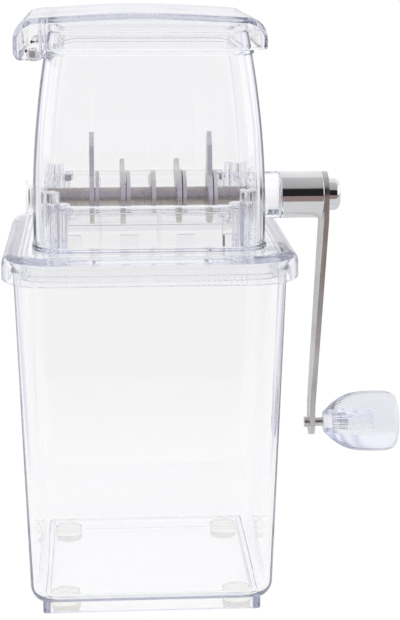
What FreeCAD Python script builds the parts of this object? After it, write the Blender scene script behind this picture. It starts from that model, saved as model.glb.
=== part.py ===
# Hand-cranked ice crusher in clear plastic: a square tub on rubber feet, a lift-off head with a hopper,
# fixed cross plates, a toothed rotor on a steel shaft, a hinged lid, and a crank with a free-turning knob.
# Millimetres, +Z up, the origin on the table under the middle of the tub, the crank towards +X.
import FreeCAD, Part
import math
import os
import Sketcher

DIMENSIONS = (
    # tub
    ("tub_half_x", 55.7, "half width of the tub outside, at its rim"),
    ("tub_half_y", 57.6, "half depth of the tub outside, at its rim"),
    ("tub_taper", 5.6, "how far each side leans in from rim to floor"),
    ("tub_corner", 14.0, "plan radius of the tub's upright corners"),
    ("tub_wall", 2.6, "tub wall"),
    ("tub_rim", 150.5, "height of the rim over the table"),
    ("tub_under", 6.0, "height of the floor's underside over the table"),
    ("tub_floor", 2.7, "thickness of the floor"),
    ("tub_round", 4.2, "rounding where walls and floor meet"),
    ("bead_out", 1.0, "how far the rim bead stands out"),
    ("bead_tall", 4.0, "height of the rim bead"),
    ("ring_inset", 4.8, "how far the foot ring stands in from the tub's foot"),
    ("ring_wall", 3.0, "wall of the foot ring"),
    ("ring_lift", 1.2, "gap from the foot ring to the table"),
    # rubber feet
    ("foot_radius", 6.0, "radius of a rubber foot"),
    ("foot_gap", 0.4, "gap between a foot and the ring round it"),
    ("foot_edge", 0.8, "rounding on a foot's lower edge"),
    # collar
    ("collar_over", 4.4, "how far the collar stands out past the tub"),
    ("collar_wall", 2.6, "skirt wall"),
    ("collar_skirt", 11.1, "height of the skirt, from its foot to the deck's top"),
    ("collar_round", 2.6, "rounding round the deck's edge"),
    ("deck_thick", 3.0, "thickness of the deck"),
    ("lip_clear", 0.6, "gap between the collar's inner lip and the tub wall"),
    ("lip_wall", 2.0, "wall of the inner lip"),
    ("lip_drop", 7.0, "how far the inner lip reaches down"),
    ("throat_corner", 18.0, "plan radius of the throat's corners"),
    # hopper tower
    ("tower_half_x", 47.4, "half width of the tower at its widest"),
    ("tower_half_y", 47.6, "half depth of the tower at its widest"),
    ("tower_tall", 88.0, "height of the tower over the deck"),
    ("tower_widest", 14.5, "height over the deck at which the tower is widest"),
    ("barrel_radius", 400.0, "radius of the barrel curve of the tower's sides"),
    ("tower_corner", 12.0, "plan radius of the tower's corners"),
    ("tower_wall", 3.0, "tower wall"),
    ("flange_out", 4.2, "how far the tower's foot flange stands out"),
    ("flange_thick", 2.0, "thickness of the foot flange"),
    ("band_out", 0.9, "how far the band below the lid stands out"),
    ("band_drop", 9.0, "depth of the band's foot below the tower's top"),
    ("band_tall", 1.6, "height of that band"),
    ("post_radius", 4.2, "radius of a corner screw post"),
    ("post_inset", 6.9, "place of the posts, in from the tower's widest half width"),
    ("post_tall", 24.0, "height of the posts over the deck"),
    ("screw_radius", 1.8, "radius of the screw thread"),
    ("screw_long", 15.0, "length of a screw under its head"),
    ("screw_tip", 0.6, "radius of the flat at a screw's tip"),
    ("screw_head", 3.6, "radius of a screw's head"),
    ("screw_head_tall", 2.4, "height of a screw's head"),
    ("screw_clear", 0.3, "gap round a screw in the deck"),
    ("screw_tip_gap", 1.0, "gap past a screw's tip in its post"),
    # shaft and bearings
    ("shaft_high", 15.5, "height of the shaft's axis over the deck"),
    ("shaft_radius", 4.0, "radius of the shaft"),
    ("shaft_run", 0.08, "running clearance of the shaft in its bushes"),
    ("boss_right_out", 9.2, "how far the right bearing boss stands out past the tower's widest side"),
    ("boss_right_radius", 10.1, "radius of the right bearing boss"),
    ("boss_left_out", 4.2, "how far the left bearing boss stands out past it"),
    ("boss_left_radius", 7.0, "radius of the left bearing boss"),
    ("bush_wall", 2.4, "wall of the right bearing bush"),
    ("bush_left_wall", 1.4, "wall of the left bearing bush"),
    ("bush_inset", 0.4, "how far a bush's ends stand back inside its boss"),
    ("cap_thick", 1.2, "thickness of the cap that closes the left boss"),
    ("clip_thick", 0.8, "thickness of the shaft's retaining clip"),
    ("clip_out", 1.1, "how far the clip stands out from the shaft"),
    ("clip_deep", 0.7, "depth of the clip's groove"),
    ("end_gap", 0.3, "gap between parts that turn past each other end to end"),
    # blade carrier and fixed plates
    ("carrier_clear", 0.5, "gap between the carrier and the tower wall"),
    ("carrier_wall", 2.4, "wall of the carrier"),
    ("carrier_tall", 20.5, "height of the carrier over the deck"),
    ("carrier_rim", 3.0, "height of the carrier's thick rim"),
    ("carrier_rim_in", 1.5, "how far the rim stands in past the wall"),
    ("carrier_notch", 7.7, "size of the square notch in the carrier's corners, round the screw posts"),
    ("notch_clear", 1.2, "gap round the shaft in the carrier's end notches"),
    ("plate_thick", 1.6, "thickness of the fixed plates"),
    ("plate_slot", 1.0, "depth of the slots that hold the fixed plates"),
    ("plate_side_clear", 0.1, "gap each side of a fixed plate in its slot"),
    ("plate_up", 3.6, "how far a plate's bar reaches over the shaft's axis"),
    ("plate_down", 4.0, "how far a plate reaches below the shaft's axis"),
    ("plate_eye", 11.2, "radius of the eye round the shaft"),
    ("plate_eye_clear", 0.8, "gap round the shaft in that eye"),
    # rotor blades
    ("rotor_shift", 1.6, "middle of the row of rotor blades, towards the crank"),
    ("rotor_near", 11.95, "distance of the inner rotor blades from that middle"),
    ("rotor_far", 25.1, "distance of the outer rotor blades from that middle"),
    ("rotor_thick", 2.0, "thickness of the rotor blades"),
    ("rotor_gap", 0.5, "gap between a rotor blade and the fixed plate beside it"),
    ("rotor_hub", 11.6, "radius of a rotor blade's hub"),
    ("rotor_reach", 27.8, "reach of a rotor blade's tip from the axis"),
    ("rotor_bevel", 5.4, "height of the bevelled tip"),
    ("rotor_root", 7.5, "half width of a rotor blade at its root"),
    ("rotor_root_back", 9.0, "the same on the blade's back"),
    ("rotor_neck", 4.4, "half width of a rotor blade below its tip"),
    ("rotor_tip_shift", 0.4, "place of the tip's point, towards the back"),
    ("rotor_back_bevel", 1.6, "how much higher the bevel starts on the back"),
    ("rotor_turn", 64.0, "angle by which the inner blades lean back, in degrees"),
    # crank
    ("sleeve_long", 18.6, "length of the chromed sleeve"),
    ("sleeve_radius", 10.2, "radius of the sleeve's ends"),
    ("sleeve_waist", 0.2, "how far the sleeve's waist draws in"),
    ("sleeve_edge", 0.6, "rounding of the sleeve's end edges"),
    ("arm_thick", 2.2, "thickness of the crank arm"),
    ("arm_hub", 10.0, "radius of the arm's hub end"),
    ("arm_tip", 5.4, "radius of the arm's knob end"),
    ("arm_lean", 4.6, "how far the arm leans in from hub to knob"),
    ("arm_bend", 10.0, "radius of the arm's two bends"),
    ("arm_bend_low", 8.6, "height of the lower bend over the knob's axis"),
    ("crank_throw", 101.8, "distance between the shaft's axis and the knob's axis"),
    ("stud_radius", 2.5, "radius of the shaft's threaded end"),
    ("nut_radius", 6.95, "radius of the round cap nut"),
    ("nut_tall", 5.5, "height of the cap nut"),
    ("nut_bore", 3.8, "depth of the cap nut's thread"),
    ("nut_dome", 2.7, "rounding of the nut's end"),
    # knob
    ("axle_radius", 1.9, "radius of the knob's axle"),
    ("axle_head", 2.3, "radius of the axle's riveted head"),
    ("axle_head_tall", 1.9, "height of the riveted head"),
    ("axle_reach", 4.2, "reach of the axle inside the core, up to its end flange"),
    ("axle_stop", 2.6, "radius of the flange at the axle's far end"),
    ("axle_stop_thick", 3.0, "thickness of that flange"),
    ("axle_run", 0.08, "running clearance of the knob on its axle"),
    ("knob_gap", 4.2, "gap between arm and knob"),
    ("knob_long", 32.8, "length of the knob"),
    ("knob_radius", 13.2, "largest radius of the knob"),
    ("knob_nose", 5.6, "radius of the knob's end beside the arm"),
    ("knob_nose_round", 1.7, "rounding of that end's edge"),
    ("knob_belly", 11.2, "where the knob's flare meets its barrel, from the nose"),
    ("knob_end_round", 5.0, "rounding of the knob's far end"),
    ("knob_bush", 4.6, "length of the white bush in the knob's nose"),
    ("knob_bush_radius", 3.4, "radius of that bush"),
    ("core_radius", 3.9, "radius of the fluted core"),
    ("core_long", 16.8, "length of the core"),
    ("flute_radius", 0.4, "radius of a flute of the core"),
    ("flute_count", 16, "number of flutes round the core"),
    # lid
    ("lid_past_right", 6.9, "how far the lid's right side stands out past the tower's top"),
    ("lid_past_y", 6.6, "how far the lid's front and rear stand out past the tower's top"),
    ("lid_wall", 2.4, "lid wall"),
    ("lid_corner", 9.0, "plan radius of the lid's corners"),
    ("lid_skirt", 6.8, "how far the lid's skirt reaches down past the tower's top"),
    ("lid_crown", 8.6, "height of the crown over the tower's top"),
    ("lid_shoulder", 5.6, "height of the lid's shoulders over the tower's top"),
    ("lid_side_round", 10.0, "rounding of the lid's two ends, seen from the front"),
    ("lid_edge_round", 2.0, "rounding of the crown's long edges"),
    ("lid_rib", 2.0, "thickness of the rib under the crown that rests on the tower"),
    ("cut_past", 1.0, "how far a cut runs past the face that it opens"),
    # hinge
    ("pin_off", 4.2, "distance of the hinge pins from the tower's left side, at their height"),
    ("pin_down", 8.0, "depth of the hinge pins below the tower's top"),
    ("pin_radius", 1.2, "radius of a hinge pin"),
    ("pin_run", 0.08, "running clearance of the lid on its pins"),
    ("pin_head", 1.5, "radius of a pin's head"),
    ("pin_head_tall", 0.9, "height of a pin's head"),
    ("lug_radius", 3.2, "radius of a hinge lug's end"),
    ("lug_thick", 5.0, "thickness of a hinge lug"),
    ("lug_inset", 17.6, "place of a lug's outer face, in from the lid's front"),
    ("ear_out", 8.0, "how far the ear stands out past the pins"),
    ("ear_drop", 2.9, "how far the ear hangs below the pins"),
    ("ear_in", 4.0, "how far the ear's foot reaches in from the pins"),
    ("ear_round", 2.2, "rounding of the ear's foot"),
)

doc = FreeCAD.newDocument("IceCrusher")
sheet = doc.addObject("Spreadsheet::Sheet", "Dims")
sub_parts = []

# A nearly full round at the end of a straight piece takes this share of its half width.
END_ROUND = 0.97
# The tower's barrel curve runs through this many spans.
TOWER_SPANS = 3
# The four corners of a rectangle round the middle.
CORNERS = ((-1, -1), (1, -1), (-1, 1), (1, 1))


class Size:
    """A length with both its number and the sheet expression that it comes from."""

    def __init__(self, value, text):
        self.value = float(value)
        self.text = text

    def __add__(self, other):
        other = as_size(other)
        return Size(self.value + other.value, f"({self.text} + {other.text})")

    def __sub__(self, other):
        other = as_size(other)
        return Size(self.value - other.value, f"({self.text} - {other.text})")

    def __mul__(self, other):
        other = as_size(other)
        return Size(self.value * other.value, f"({self.text} * {other.text})")

    def __truediv__(self, other):
        other = as_size(other)
        return Size(self.value / other.value, f"({self.text} / {other.text})")

    def __neg__(self):
        return Size(-self.value, f"(0 - {self.text})")


def as_size(number):
    """A plain number as a Size; a Size stays as it is."""
    return number if isinstance(number, Size) else Size(number, str(number))


def root(size):
    """The square root of a Size."""
    return Size(math.sqrt(size.value), f"sqrt({size.text})")


def fill_sheet():
    """Writes the driving dimensions to the sheet and returns them by name."""
    sizes = {}
    for row, (alias, value, note) in enumerate(DIMENSIONS, start=1):
        sheet.set(f"A{row}", alias)
        sheet.set(f"B{row}", str(value))
        sheet.set(f"C{row}", note)
        sheet.setAlias(f"B{row}", alias)
        sizes[alias] = Size(value, f"Dims.{alias}")
    doc.recompute()
    return sizes


D = fill_sheet()
ZERO = Size(0, "0")

# ---------------------------------------------------------------- sizes that follow from the driving ones

tub_tall = D["tub_rim"] - D["tub_under"]
tub_floor_top = D["tub_under"] + D["tub_floor"]
tub_foot_x = D["tub_half_x"] - D["tub_taper"]
tub_foot_y = D["tub_half_y"] - D["tub_taper"]
tub_foot_corner = D["tub_corner"] - D["tub_taper"]
ring_x = tub_foot_x - D["ring_inset"]
ring_y = tub_foot_y - D["ring_inset"]
foot_x = ring_x - D["ring_wall"] - D["foot_gap"] - D["foot_radius"]
foot_y = ring_y - D["ring_wall"] - D["foot_gap"] - D["foot_radius"]
deck_top = D["tub_rim"] + D["deck_thick"]
collar_x = D["tub_half_x"] + D["collar_over"]
collar_y = D["tub_half_y"] + D["collar_over"]
collar_corner = D["tub_corner"] + D["collar_over"]
post_x = D["tower_half_x"] - D["post_inset"]
post_y = D["tower_half_y"] - D["post_inset"]
tower_top = deck_top + D["tower_tall"]
shaft_axis = deck_top + D["shaft_high"]
pin_z = D["tower_tall"] - D["pin_down"]
boss_right = D["tower_half_x"] + D["boss_right_out"]
boss_left = D["tower_half_x"] + D["boss_left_out"]
bush_right_radius = D["shaft_radius"] + D["shaft_run"] + D["bush_wall"]
bush_left_radius = D["shaft_radius"] + D["shaft_run"] + D["bush_left_wall"]
sleeve_start = boss_right + D["end_gap"]
arm_inner = sleeve_start + D["sleeve_long"]
arm_outer = arm_inner + D["arm_thick"]
arm_end_outer = arm_outer - D["arm_lean"]
knob_start = arm_end_outer + D["knob_gap"]
clip_outer_face = boss_left - D["cap_thick"] - D["end_gap"] * 2
clip_inner_face = clip_outer_face - D["clip_thick"]
fixed_offset = D["rotor_thick"] / 2 + D["rotor_gap"] + D["plate_thick"] / 2


def barrel_in(height):
    """How far the barrel curve stands in from the widest line at a height over the deck."""
    rise = height - D["tower_widest"]
    return D["barrel_radius"] - root(D["barrel_radius"] * D["barrel_radius"] - rise * rise)


carrier_x = D["tower_half_x"] - barrel_in(ZERO) - D["tower_wall"] - D["carrier_clear"]
carrier_y = D["tower_half_y"] - barrel_in(ZERO) - D["tower_wall"] - D["carrier_clear"]
carrier_in_x = carrier_x - D["carrier_wall"]
carrier_in_y = carrier_y - D["carrier_wall"]
tower_inner_x = D["tower_half_x"] - barrel_in(D["shaft_high"]) - D["tower_wall"]
tower_top_x = D["tower_half_x"] - barrel_in(D["tower_tall"])
tower_top_y = D["tower_half_y"] - barrel_in(D["tower_tall"])
lid_right = tower_top_x + D["lid_past_right"]
lid_half_y = tower_top_y + D["lid_past_y"]
pin_out = D["tower_half_x"] - barrel_in(pin_z) + D["pin_off"]
lid_left = pin_out + D["ear_out"]
lug_outer = lid_half_y - D["lug_inset"]
lug_inner = lug_outer - D["lug_thick"]

# ---------------------------------------------------------------- bodies, sketches and features


def new_body(label, x=ZERO, y=ZERO, z=ZERO):
    """A PartDesign body whose placement follows the sheet."""
    body = doc.addObject("PartDesign::Body", label)
    body.Label = label
    for axis, size in (("x", x), ("y", y), ("z", z)):
        if size is not ZERO:
            body.setExpression(f"Placement.Base.{axis}", size.text)
    return body


def new_sketch(body, role, offset=ZERO):
    """A sketch on one of the body's own origin planes, moved along that plane's normal."""
    plane = next(item for item in body.Origin.OriginFeatures if item.Role == role)
    sketch = body.newObject("Sketcher::SketchObject", body.Name + "_sketch")
    sketch.AttachmentSupport = (plane, "")
    sketch.MapMode = "FlatFace"
    if offset is not ZERO:
        sketch.setExpression("AttachmentOffset.Base.z", offset.text)
    return sketch


def drive(sketch, kind, *terms):
    """Adds a dimension to a sketch; its last term is a Size that drives it."""
    size = terms[-1]
    index = sketch.addConstraint(Sketcher.Constraint(kind, *terms[:-1], size.value))
    sketch.setExpression(f"Constraints[{index}]", size.text)


def fix_point(sketch, geometry, point, x, y):
    """Dimensions a sketch point from the sketch's origin."""
    drive(sketch, "DistanceX", -1, 1, geometry, point, x)
    drive(sketch, "DistanceY", -1, 1, geometry, point, y)


def draw_circle(sketch, x, y, radius):
    """A circle dimensioned from the sketch's origin."""
    centre = FreeCAD.Vector(x.value, y.value, 0)
    circle = sketch.addGeometry(Part.Circle(centre, FreeCAD.Vector(0, 0, 1), radius.value))
    fix_point(sketch, circle, 3, x, y)
    drive(sketch, "Radius", circle, radius)


def draw_outline(sketch, corners):
    """A closed outline of straight runs; each corner is (x, y) or (x, y, radius of its round)."""
    count = len(corners)
    spots = [FreeCAD.Vector(corner[0].value, corner[1].value, 0) for corner in corners]
    starts, ends = [], []
    for index, corner in enumerate(corners):
        before = spots[index - 1] - spots[index]
        after = spots[(index + 1) % count] - spots[index]
        cut = 0.0
        if len(corner) == 3:
            cut = corner[2].value / math.tan(before.getAngle(after) / 2)
        starts.append(spots[index] + before.normalize() * cut)
        ends.append(spots[index] + after.normalize() * cut)
    lines = []
    for index in range(count):
        lines.append(sketch.addGeometry(Part.LineSegment(ends[index], starts[(index + 1) % count])))
    for index, corner in enumerate(corners):
        incoming, outgoing = lines[index - 1], lines[index]
        if len(corner) == 2:
            sketch.addConstraint(Sketcher.Constraint("Coincident", incoming, 2, outgoing, 1))
            fix_point(sketch, outgoing, 1, corner[0], corner[1])
            continue
        round_corner(sketch, corner, spots[index], starts[index], ends[index], incoming, outgoing)


def round_corner(sketch, corner, spot, start, end, incoming, outgoing):
    """An arc between two runs, tangent to both, whose corner point is dimensioned."""
    x, y, radius = corner
    towards = (start + end) * 0.5 - spot
    centre = spot + towards.normalize() * math.hypot(radius.value, (start - spot).Length)
    circle = Part.Circle(centre, FreeCAD.Vector(0, 0, 1), radius.value)
    start_angle = math.atan2(start.y - centre.y, start.x - centre.x)
    end_angle = math.atan2(end.y - centre.y, end.x - centre.x)
    runs_left = (start - centre).cross(end - centre).z > 0
    if not runs_left:
        start_angle, end_angle = end_angle, start_angle
    if end_angle < start_angle:
        end_angle += math.tau
    arc = sketch.addGeometry(Part.ArcOfCircle(circle, start_angle, end_angle))
    start_end, end_end = (1, 2) if runs_left else (2, 1)
    sketch.addConstraint(Sketcher.Constraint("Tangent", incoming, 2, arc, start_end))
    sketch.addConstraint(Sketcher.Constraint("Tangent", outgoing, 1, arc, end_end))
    drive(sketch, "Radius", arc, radius)
    point = sketch.addGeometry(Part.Point(spot), True)
    sketch.addConstraint(Sketcher.Constraint("PointOnObject", point, 1, incoming))
    sketch.addConstraint(Sketcher.Constraint("PointOnObject", point, 1, outgoing))
    fix_point(sketch, point, 1, x, y)


def draw_rounded_box(sketch, half_x, half_y, radius):
    """A rounded rectangle round the sketch's origin."""
    signs = ((1, 1), (-1, 1), (-1, -1), (1, -1))
    draw_outline(sketch, [(half_x * sx, half_y * sy, radius) for sx, sy in signs])


def draw_notched_box(sketch, half_x, half_y, notch):
    """A rectangle round the sketch's origin with a square notch in each corner."""
    in_x, in_y = half_x - notch, half_y - notch
    draw_outline(sketch, [
        (half_x, in_y), (in_x, in_y), (in_x, half_y), (-in_x, half_y), (-in_x, in_y), (-half_x, in_y),
        (-half_x, -in_y), (-in_x, -in_y), (-in_x, -half_y), (in_x, -half_y), (in_x, -in_y), (half_x, -in_y)])


def pad(body, sketch, length, both_ways=False):
    """Adds material along the sketch's normal."""
    feature = body.newObject("PartDesign::Pad", body.Name + "_pad")
    feature.Profile = sketch
    feature.setExpression("Length", length.text)
    feature.Midplane = both_ways
    return feature


def pocket(body, sketch, length, reverse=False, both_ways=False):
    """Removes material against the sketch's normal, or along it where reversed."""
    feature = body.newObject("PartDesign::Pocket", body.Name + "_pocket")
    feature.Profile = sketch
    feature.setExpression("Length", length.text)
    feature.Reversed = reverse
    feature.Midplane = both_ways
    return feature


def loft(body, kind, sketches):
    """Adds or removes a smooth body through a row of sketches."""
    feature = body.newObject(f"PartDesign::{kind}Loft", body.Name + "_loft")
    feature.Profile = sketches[0]
    feature.Sections = sketches[1:]
    return feature


def turn(body, sketch, axis, remove=False):
    """A full turn of a profile about the sketch's own H_Axis or V_Axis."""
    kind = "Groove" if remove else "Revolution"
    feature = body.newObject(f"PartDesign::{kind}", body.Name + "_turn")
    feature.Profile = sketch
    feature.ReferenceAxis = (sketch, [axis])
    feature.Angle = 360
    return feature


def report_failures():
    """Stops with the names of the objects that failed to compute."""
    failed = [item.Name for item in doc.Objects if "Invalid" in item.State or "Error" in item.State]
    if failed:
        raise RuntimeError("failed: " + ", ".join(failed))


def fillet(body, radius, wanted):
    """Rounds the edges of the body's tip that pass a test."""
    doc.recompute()
    base = body.Tip
    names = [f"Edge{number}" for number, edge in enumerate(base.Shape.Edges, start=1) if wanted(edge)]
    if not names:
        report_failures()
        raise RuntimeError(f"no edge to round on {body.Label}")
    feature = body.newObject("PartDesign::Fillet", body.Name + "_fillet")
    feature.Base = (base, names)
    feature.setExpression("Radius", radius.text)
    return feature


def flat_at(height, tolerance=0.01):
    """A test for edges that lie level at a height in the body's own frame."""
    def test(edge):
        box = edge.BoundBox
        return abs(box.ZMin - height.value) < tolerance and abs(box.ZMax - height.value) < tolerance
    return test


def keep(thing):
    """Notes a finished sub-part."""
    sub_parts.append(thing)
    return thing


def turned_z(label, corners, x=ZERO, y=ZERO, z=ZERO):
    """A body turned about its own upright axis from (radius, height) corners."""
    body = new_body(label, x, y, z)
    sketch = new_sketch(body, "XZ_Plane")
    draw_outline(sketch, corners)
    turn(body, sketch, "V_Axis")
    return keep(body)


def turned_x(label, corners, x=ZERO, z=ZERO):
    """A body turned about a level axis along X from (distance along, radius) corners."""
    body = new_body(label, x, ZERO, z)
    sketch = new_sketch(body, "XY_Plane")
    draw_outline(sketch, corners)
    turn(body, sketch, "H_Axis")
    return keep(body)


def ring_section(start, end, inner, outer):
    """The corners of a plain ring's section, from start to end along its axis."""
    return [(start, inner), (end, inner), (end, outer), (start, outer)]


# ---------------------------------------------------------------- the tub and its feet


def tub_half_at(height, half):
    """The tub's outside half size at a height over the table."""
    return half - D["tub_taper"] * (D["tub_rim"] - height) / tub_tall


def draw_tub_mouth(body, inset):
    """The tub's rounded-square section at its rim, drawn in from its outside."""
    sketch = new_sketch(body, "XY_Plane", D["tub_rim"])
    draw_rounded_box(sketch, D["tub_half_x"] - inset, D["tub_half_y"] - inset, D["tub_corner"] - inset)
    return sketch


def make_tub():
    """The tapered tub with a rim bead, rounded floor edges and a foot ring."""
    body = new_body("ice_tub")
    lean = f"atan({D['tub_taper'].text} / {tub_tall.text})"
    block = pad(body, draw_tub_mouth(body, ZERO), tub_tall)
    block.Reversed = True
    block.setExpression("TaperAngle", f"-{lean}")
    fillet(body, D["tub_round"], flat_at(D["tub_under"]))
    bead = new_sketch(body, "XY_Plane", D["tub_rim"] - D["bead_tall"])
    draw_rounded_box(bead, D["tub_half_x"] + D["bead_out"], D["tub_half_y"] + D["bead_out"],
                     D["tub_corner"] + D["bead_out"])
    pad(body, bead, D["bead_tall"])
    hollow = pocket(body, draw_tub_mouth(body, D["tub_wall"]), D["tub_rim"] - tub_floor_top)
    hollow.setExpression("TaperAngle", f"-{lean}")
    fillet(body, D["tub_round"], flat_at(tub_floor_top))
    ring = new_sketch(body, "XY_Plane", D["ring_lift"])
    draw_rounded_box(ring, ring_x, ring_y, tub_foot_corner)
    draw_rounded_box(ring, ring_x - D["ring_wall"], ring_y - D["ring_wall"], tub_foot_corner - D["ring_wall"])
    pad(body, ring, D["tub_under"] - D["ring_lift"])
    return keep(body)


def make_feet():
    """Four rubber feet inside the foot ring, stuck to the floor's underside."""
    for number, (sx, sy) in enumerate(CORNERS, start=1):
        corners = [
            (ZERO, ZERO), (D["foot_radius"], ZERO, D["foot_edge"]),
            (D["foot_radius"], D["tub_under"]), (ZERO, D["tub_under"])]
        turned_z(f"foot_pad_{number}", corners, foot_x * sx, foot_y * sy)


# ---------------------------------------------------------------- the collar


def make_collar():
    """The collar: a deck with a throat, a skirt outside the tub's rim and a lip inside it."""
    body = new_body("base_collar", z=deck_top)
    deck = new_sketch(body, "XY_Plane", -D["deck_thick"])
    draw_rounded_box(deck, collar_x, collar_y, collar_corner)
    draw_rounded_box(deck, carrier_in_x, carrier_in_y, D["throat_corner"])
    pad(body, deck, D["deck_thick"])
    skirt = new_sketch(body, "XY_Plane", -D["collar_skirt"])
    draw_rounded_box(skirt, collar_x, collar_y, collar_corner)
    draw_rounded_box(skirt, collar_x - D["collar_wall"], collar_y - D["collar_wall"],
                     collar_corner - D["collar_wall"])
    pad(body, skirt, D["collar_skirt"] - D["deck_thick"])
    lip_out = D["tub_wall"] + D["lip_clear"]
    lip = new_sketch(body, "XY_Plane", -(D["deck_thick"] + D["lip_drop"]))
    lip_level = D["tub_rim"] - D["lip_drop"]
    lip_x = tub_half_at(lip_level, D["tub_half_x"]) - lip_out
    lip_y = tub_half_at(lip_level, D["tub_half_y"]) - lip_out
    lip_corner = D["tub_corner"] - lip_out
    draw_rounded_box(lip, lip_x, lip_y, lip_corner)
    draw_rounded_box(lip, lip_x - D["lip_wall"], lip_y - D["lip_wall"], lip_corner - D["lip_wall"])
    pad(body, lip, D["lip_drop"])
    holes = new_sketch(body, "XY_Plane")
    for sx, sy in CORNERS:
        draw_circle(holes, post_x * sx, post_y * sy, D["screw_radius"] + D["screw_clear"])
    pocket(body, holes, D["deck_thick"])

    def outer_top(edge):
        box = edge.BoundBox
        beyond_tower = max(box.XMax - D["tower_half_x"].value, -box.XMin - D["tower_half_x"].value,
                           box.YMax - D["tower_half_y"].value, -box.YMin - D["tower_half_y"].value) > 0
        return beyond_tower and flat_at(ZERO)(edge)
    fillet(body, D["collar_round"], outer_top)
    return keep(body)


# ---------------------------------------------------------------- the hopper tower


def tower_section(body, height, inset):
    """A rounded-square section of the barrel-sided tower, drawn in from its outside."""
    sketch = new_sketch(body, "XY_Plane", height)
    draw = barrel_in(height) + inset
    draw_rounded_box(sketch, D["tower_half_x"] - draw, D["tower_half_y"] - draw, D["tower_corner"] - inset)
    return sketch


def tower_sections(body, inset):
    """Evenly spaced sections from the deck to the tower's top."""
    return [tower_section(body, D["tower_tall"] * step / TOWER_SPANS, inset)
            for step in range(TOWER_SPANS + 1)]


def make_lug(body, offset):
    """A round-ended hinge lug on the tower's left side, from a distance in front of the middle."""
    sketch = new_sketch(body, "XZ_Plane", offset)
    low, high = pin_z - D["lug_radius"], pin_z + D["lug_radius"]
    tip = -(pin_out + D["lug_radius"])
    wall = barrel_in(pin_z) + D["tower_wall"] - D["tower_half_x"]
    round_end = D["lug_radius"] * END_ROUND
    draw_outline(sketch, [(wall, low), (wall, high), (tip, high, round_end), (tip, low, round_end)])
    pad(body, sketch, D["lug_thick"])


def make_tower():
    """The clear hopper with its foot flange, bearing bosses, screw posts and hinge lugs."""
    body = new_body("hopper_tower", z=deck_top)
    loft(body, "Additive", tower_sections(body, ZERO))
    flange = new_sketch(body, "XY_Plane")
    flange_grow = D["flange_out"] - barrel_in(ZERO)
    draw_rounded_box(flange, D["tower_half_x"] + flange_grow, D["tower_half_y"] + flange_grow,
                     D["tower_corner"] + D["flange_out"])
    pad(body, flange, D["flange_thick"])
    band_foot = D["tower_tall"] - D["band_drop"]
    band_grow = D["band_out"] - barrel_in(band_foot)
    band = new_sketch(body, "XY_Plane", band_foot)
    draw_rounded_box(band, D["tower_half_x"] + band_grow, D["tower_half_y"] + band_grow,
                     D["tower_corner"] + D["band_out"])
    pad(body, band, D["band_tall"])
    boss_root = D["tower_half_x"] - D["tower_wall"] * 2
    right = new_sketch(body, "YZ_Plane", boss_root)
    draw_circle(right, ZERO, D["shaft_high"], D["boss_right_radius"])
    pad(body, right, boss_right - boss_root)
    left = new_sketch(body, "YZ_Plane", -boss_left)
    draw_circle(left, ZERO, D["shaft_high"], D["boss_left_radius"])
    pad(body, left, boss_left - boss_root)
    make_lug(body, lug_inner)
    make_lug(body, -lug_outer)
    loft(body, "Subtractive", tower_sections(body, D["tower_wall"]))
    posts = new_sketch(body, "XY_Plane")
    for sx, sy in CORNERS:
        draw_circle(posts, post_x * sx, post_y * sy, D["post_radius"])
    pad(body, posts, D["post_tall"])
    holes = new_sketch(body, "XY_Plane")
    for sx, sy in CORNERS:
        draw_circle(holes, post_x * sx, post_y * sy, D["screw_radius"])
    pocket(body, holes, D["screw_long"] - D["deck_thick"] + D["screw_tip_gap"], reverse=True)
    bore_right = new_sketch(body, "YZ_Plane", boss_right)
    draw_circle(bore_right, ZERO, D["shaft_high"], bush_right_radius)
    pocket(body, bore_right, boss_right)
    bore_left = new_sketch(body, "YZ_Plane", -boss_left)
    draw_circle(bore_left, ZERO, D["shaft_high"], bush_left_radius)
    pocket(body, bore_left, boss_left, reverse=True)
    pins = new_sketch(body, "XZ_Plane")
    draw_circle(pins, -pin_out, pin_z, D["pin_radius"])
    pocket(body, pins, lid_half_y * 2, both_ways=True)
    return keep(body)


def make_tower_fittings():
    """Screws from below, bearing bushes, the left boss's cap and the hinge pins."""
    for number, (sx, sy) in enumerate(CORNERS, start=1):
        under = -D["deck_thick"]
        corners = [
            (ZERO, under - D["screw_head_tall"]), (D["screw_head"], under - D["screw_head_tall"]),
            (D["screw_head"], under), (D["screw_radius"], under),
            (D["screw_radius"], under + D["screw_long"] - D["screw_radius"]),
            (D["screw_tip"], under + D["screw_long"]), (ZERO, under + D["screw_long"])]
        turned_z(f"tower_screw_{number}", corners, post_x * sx, post_y * sy, deck_top)
    bore = D["shaft_radius"] + D["shaft_run"]
    right_start = tower_inner_x + D["bush_inset"]
    turned_x("bearing_bush_right", ring_section(right_start, boss_right - D["bush_inset"], bore,
                                                bush_right_radius), z=shaft_axis)
    turned_x("bearing_bush_left", ring_section(D["end_gap"] - clip_inner_face, -right_start, bore,
                                               bush_left_radius), z=shaft_axis)
    cap = [
        (-boss_left, ZERO), (-boss_left, bush_left_radius),
        (D["cap_thick"] - boss_left, bush_left_radius), (D["cap_thick"] - boss_left, ZERO)]
    turned_x("bearing_cap", cap, z=shaft_axis)
    for name, side in (("front", -1), ("rear", 1)):
        make_hinge_pin(f"hinge_pin_{name}", side)


def make_hinge_pin(label, side):
    """A headed pin through a cheek of the lid and into a lug of the tower."""
    body = new_body(label, -pin_out, ZERO, deck_top + pin_z)
    sketch = new_sketch(body, "XY_Plane")
    face = lid_half_y + D["end_gap"]
    head_end = face + D["pin_head_tall"]
    corners = [
        (ZERO, lug_inner * side), (D["pin_radius"], lug_inner * side), (D["pin_radius"], face * side),
        (D["pin_head"], face * side), (D["pin_head"], head_end * side), (ZERO, head_end * side)]
    draw_outline(sketch, corners)
    turn(body, sketch, "V_Axis")
    keep(body)


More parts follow.
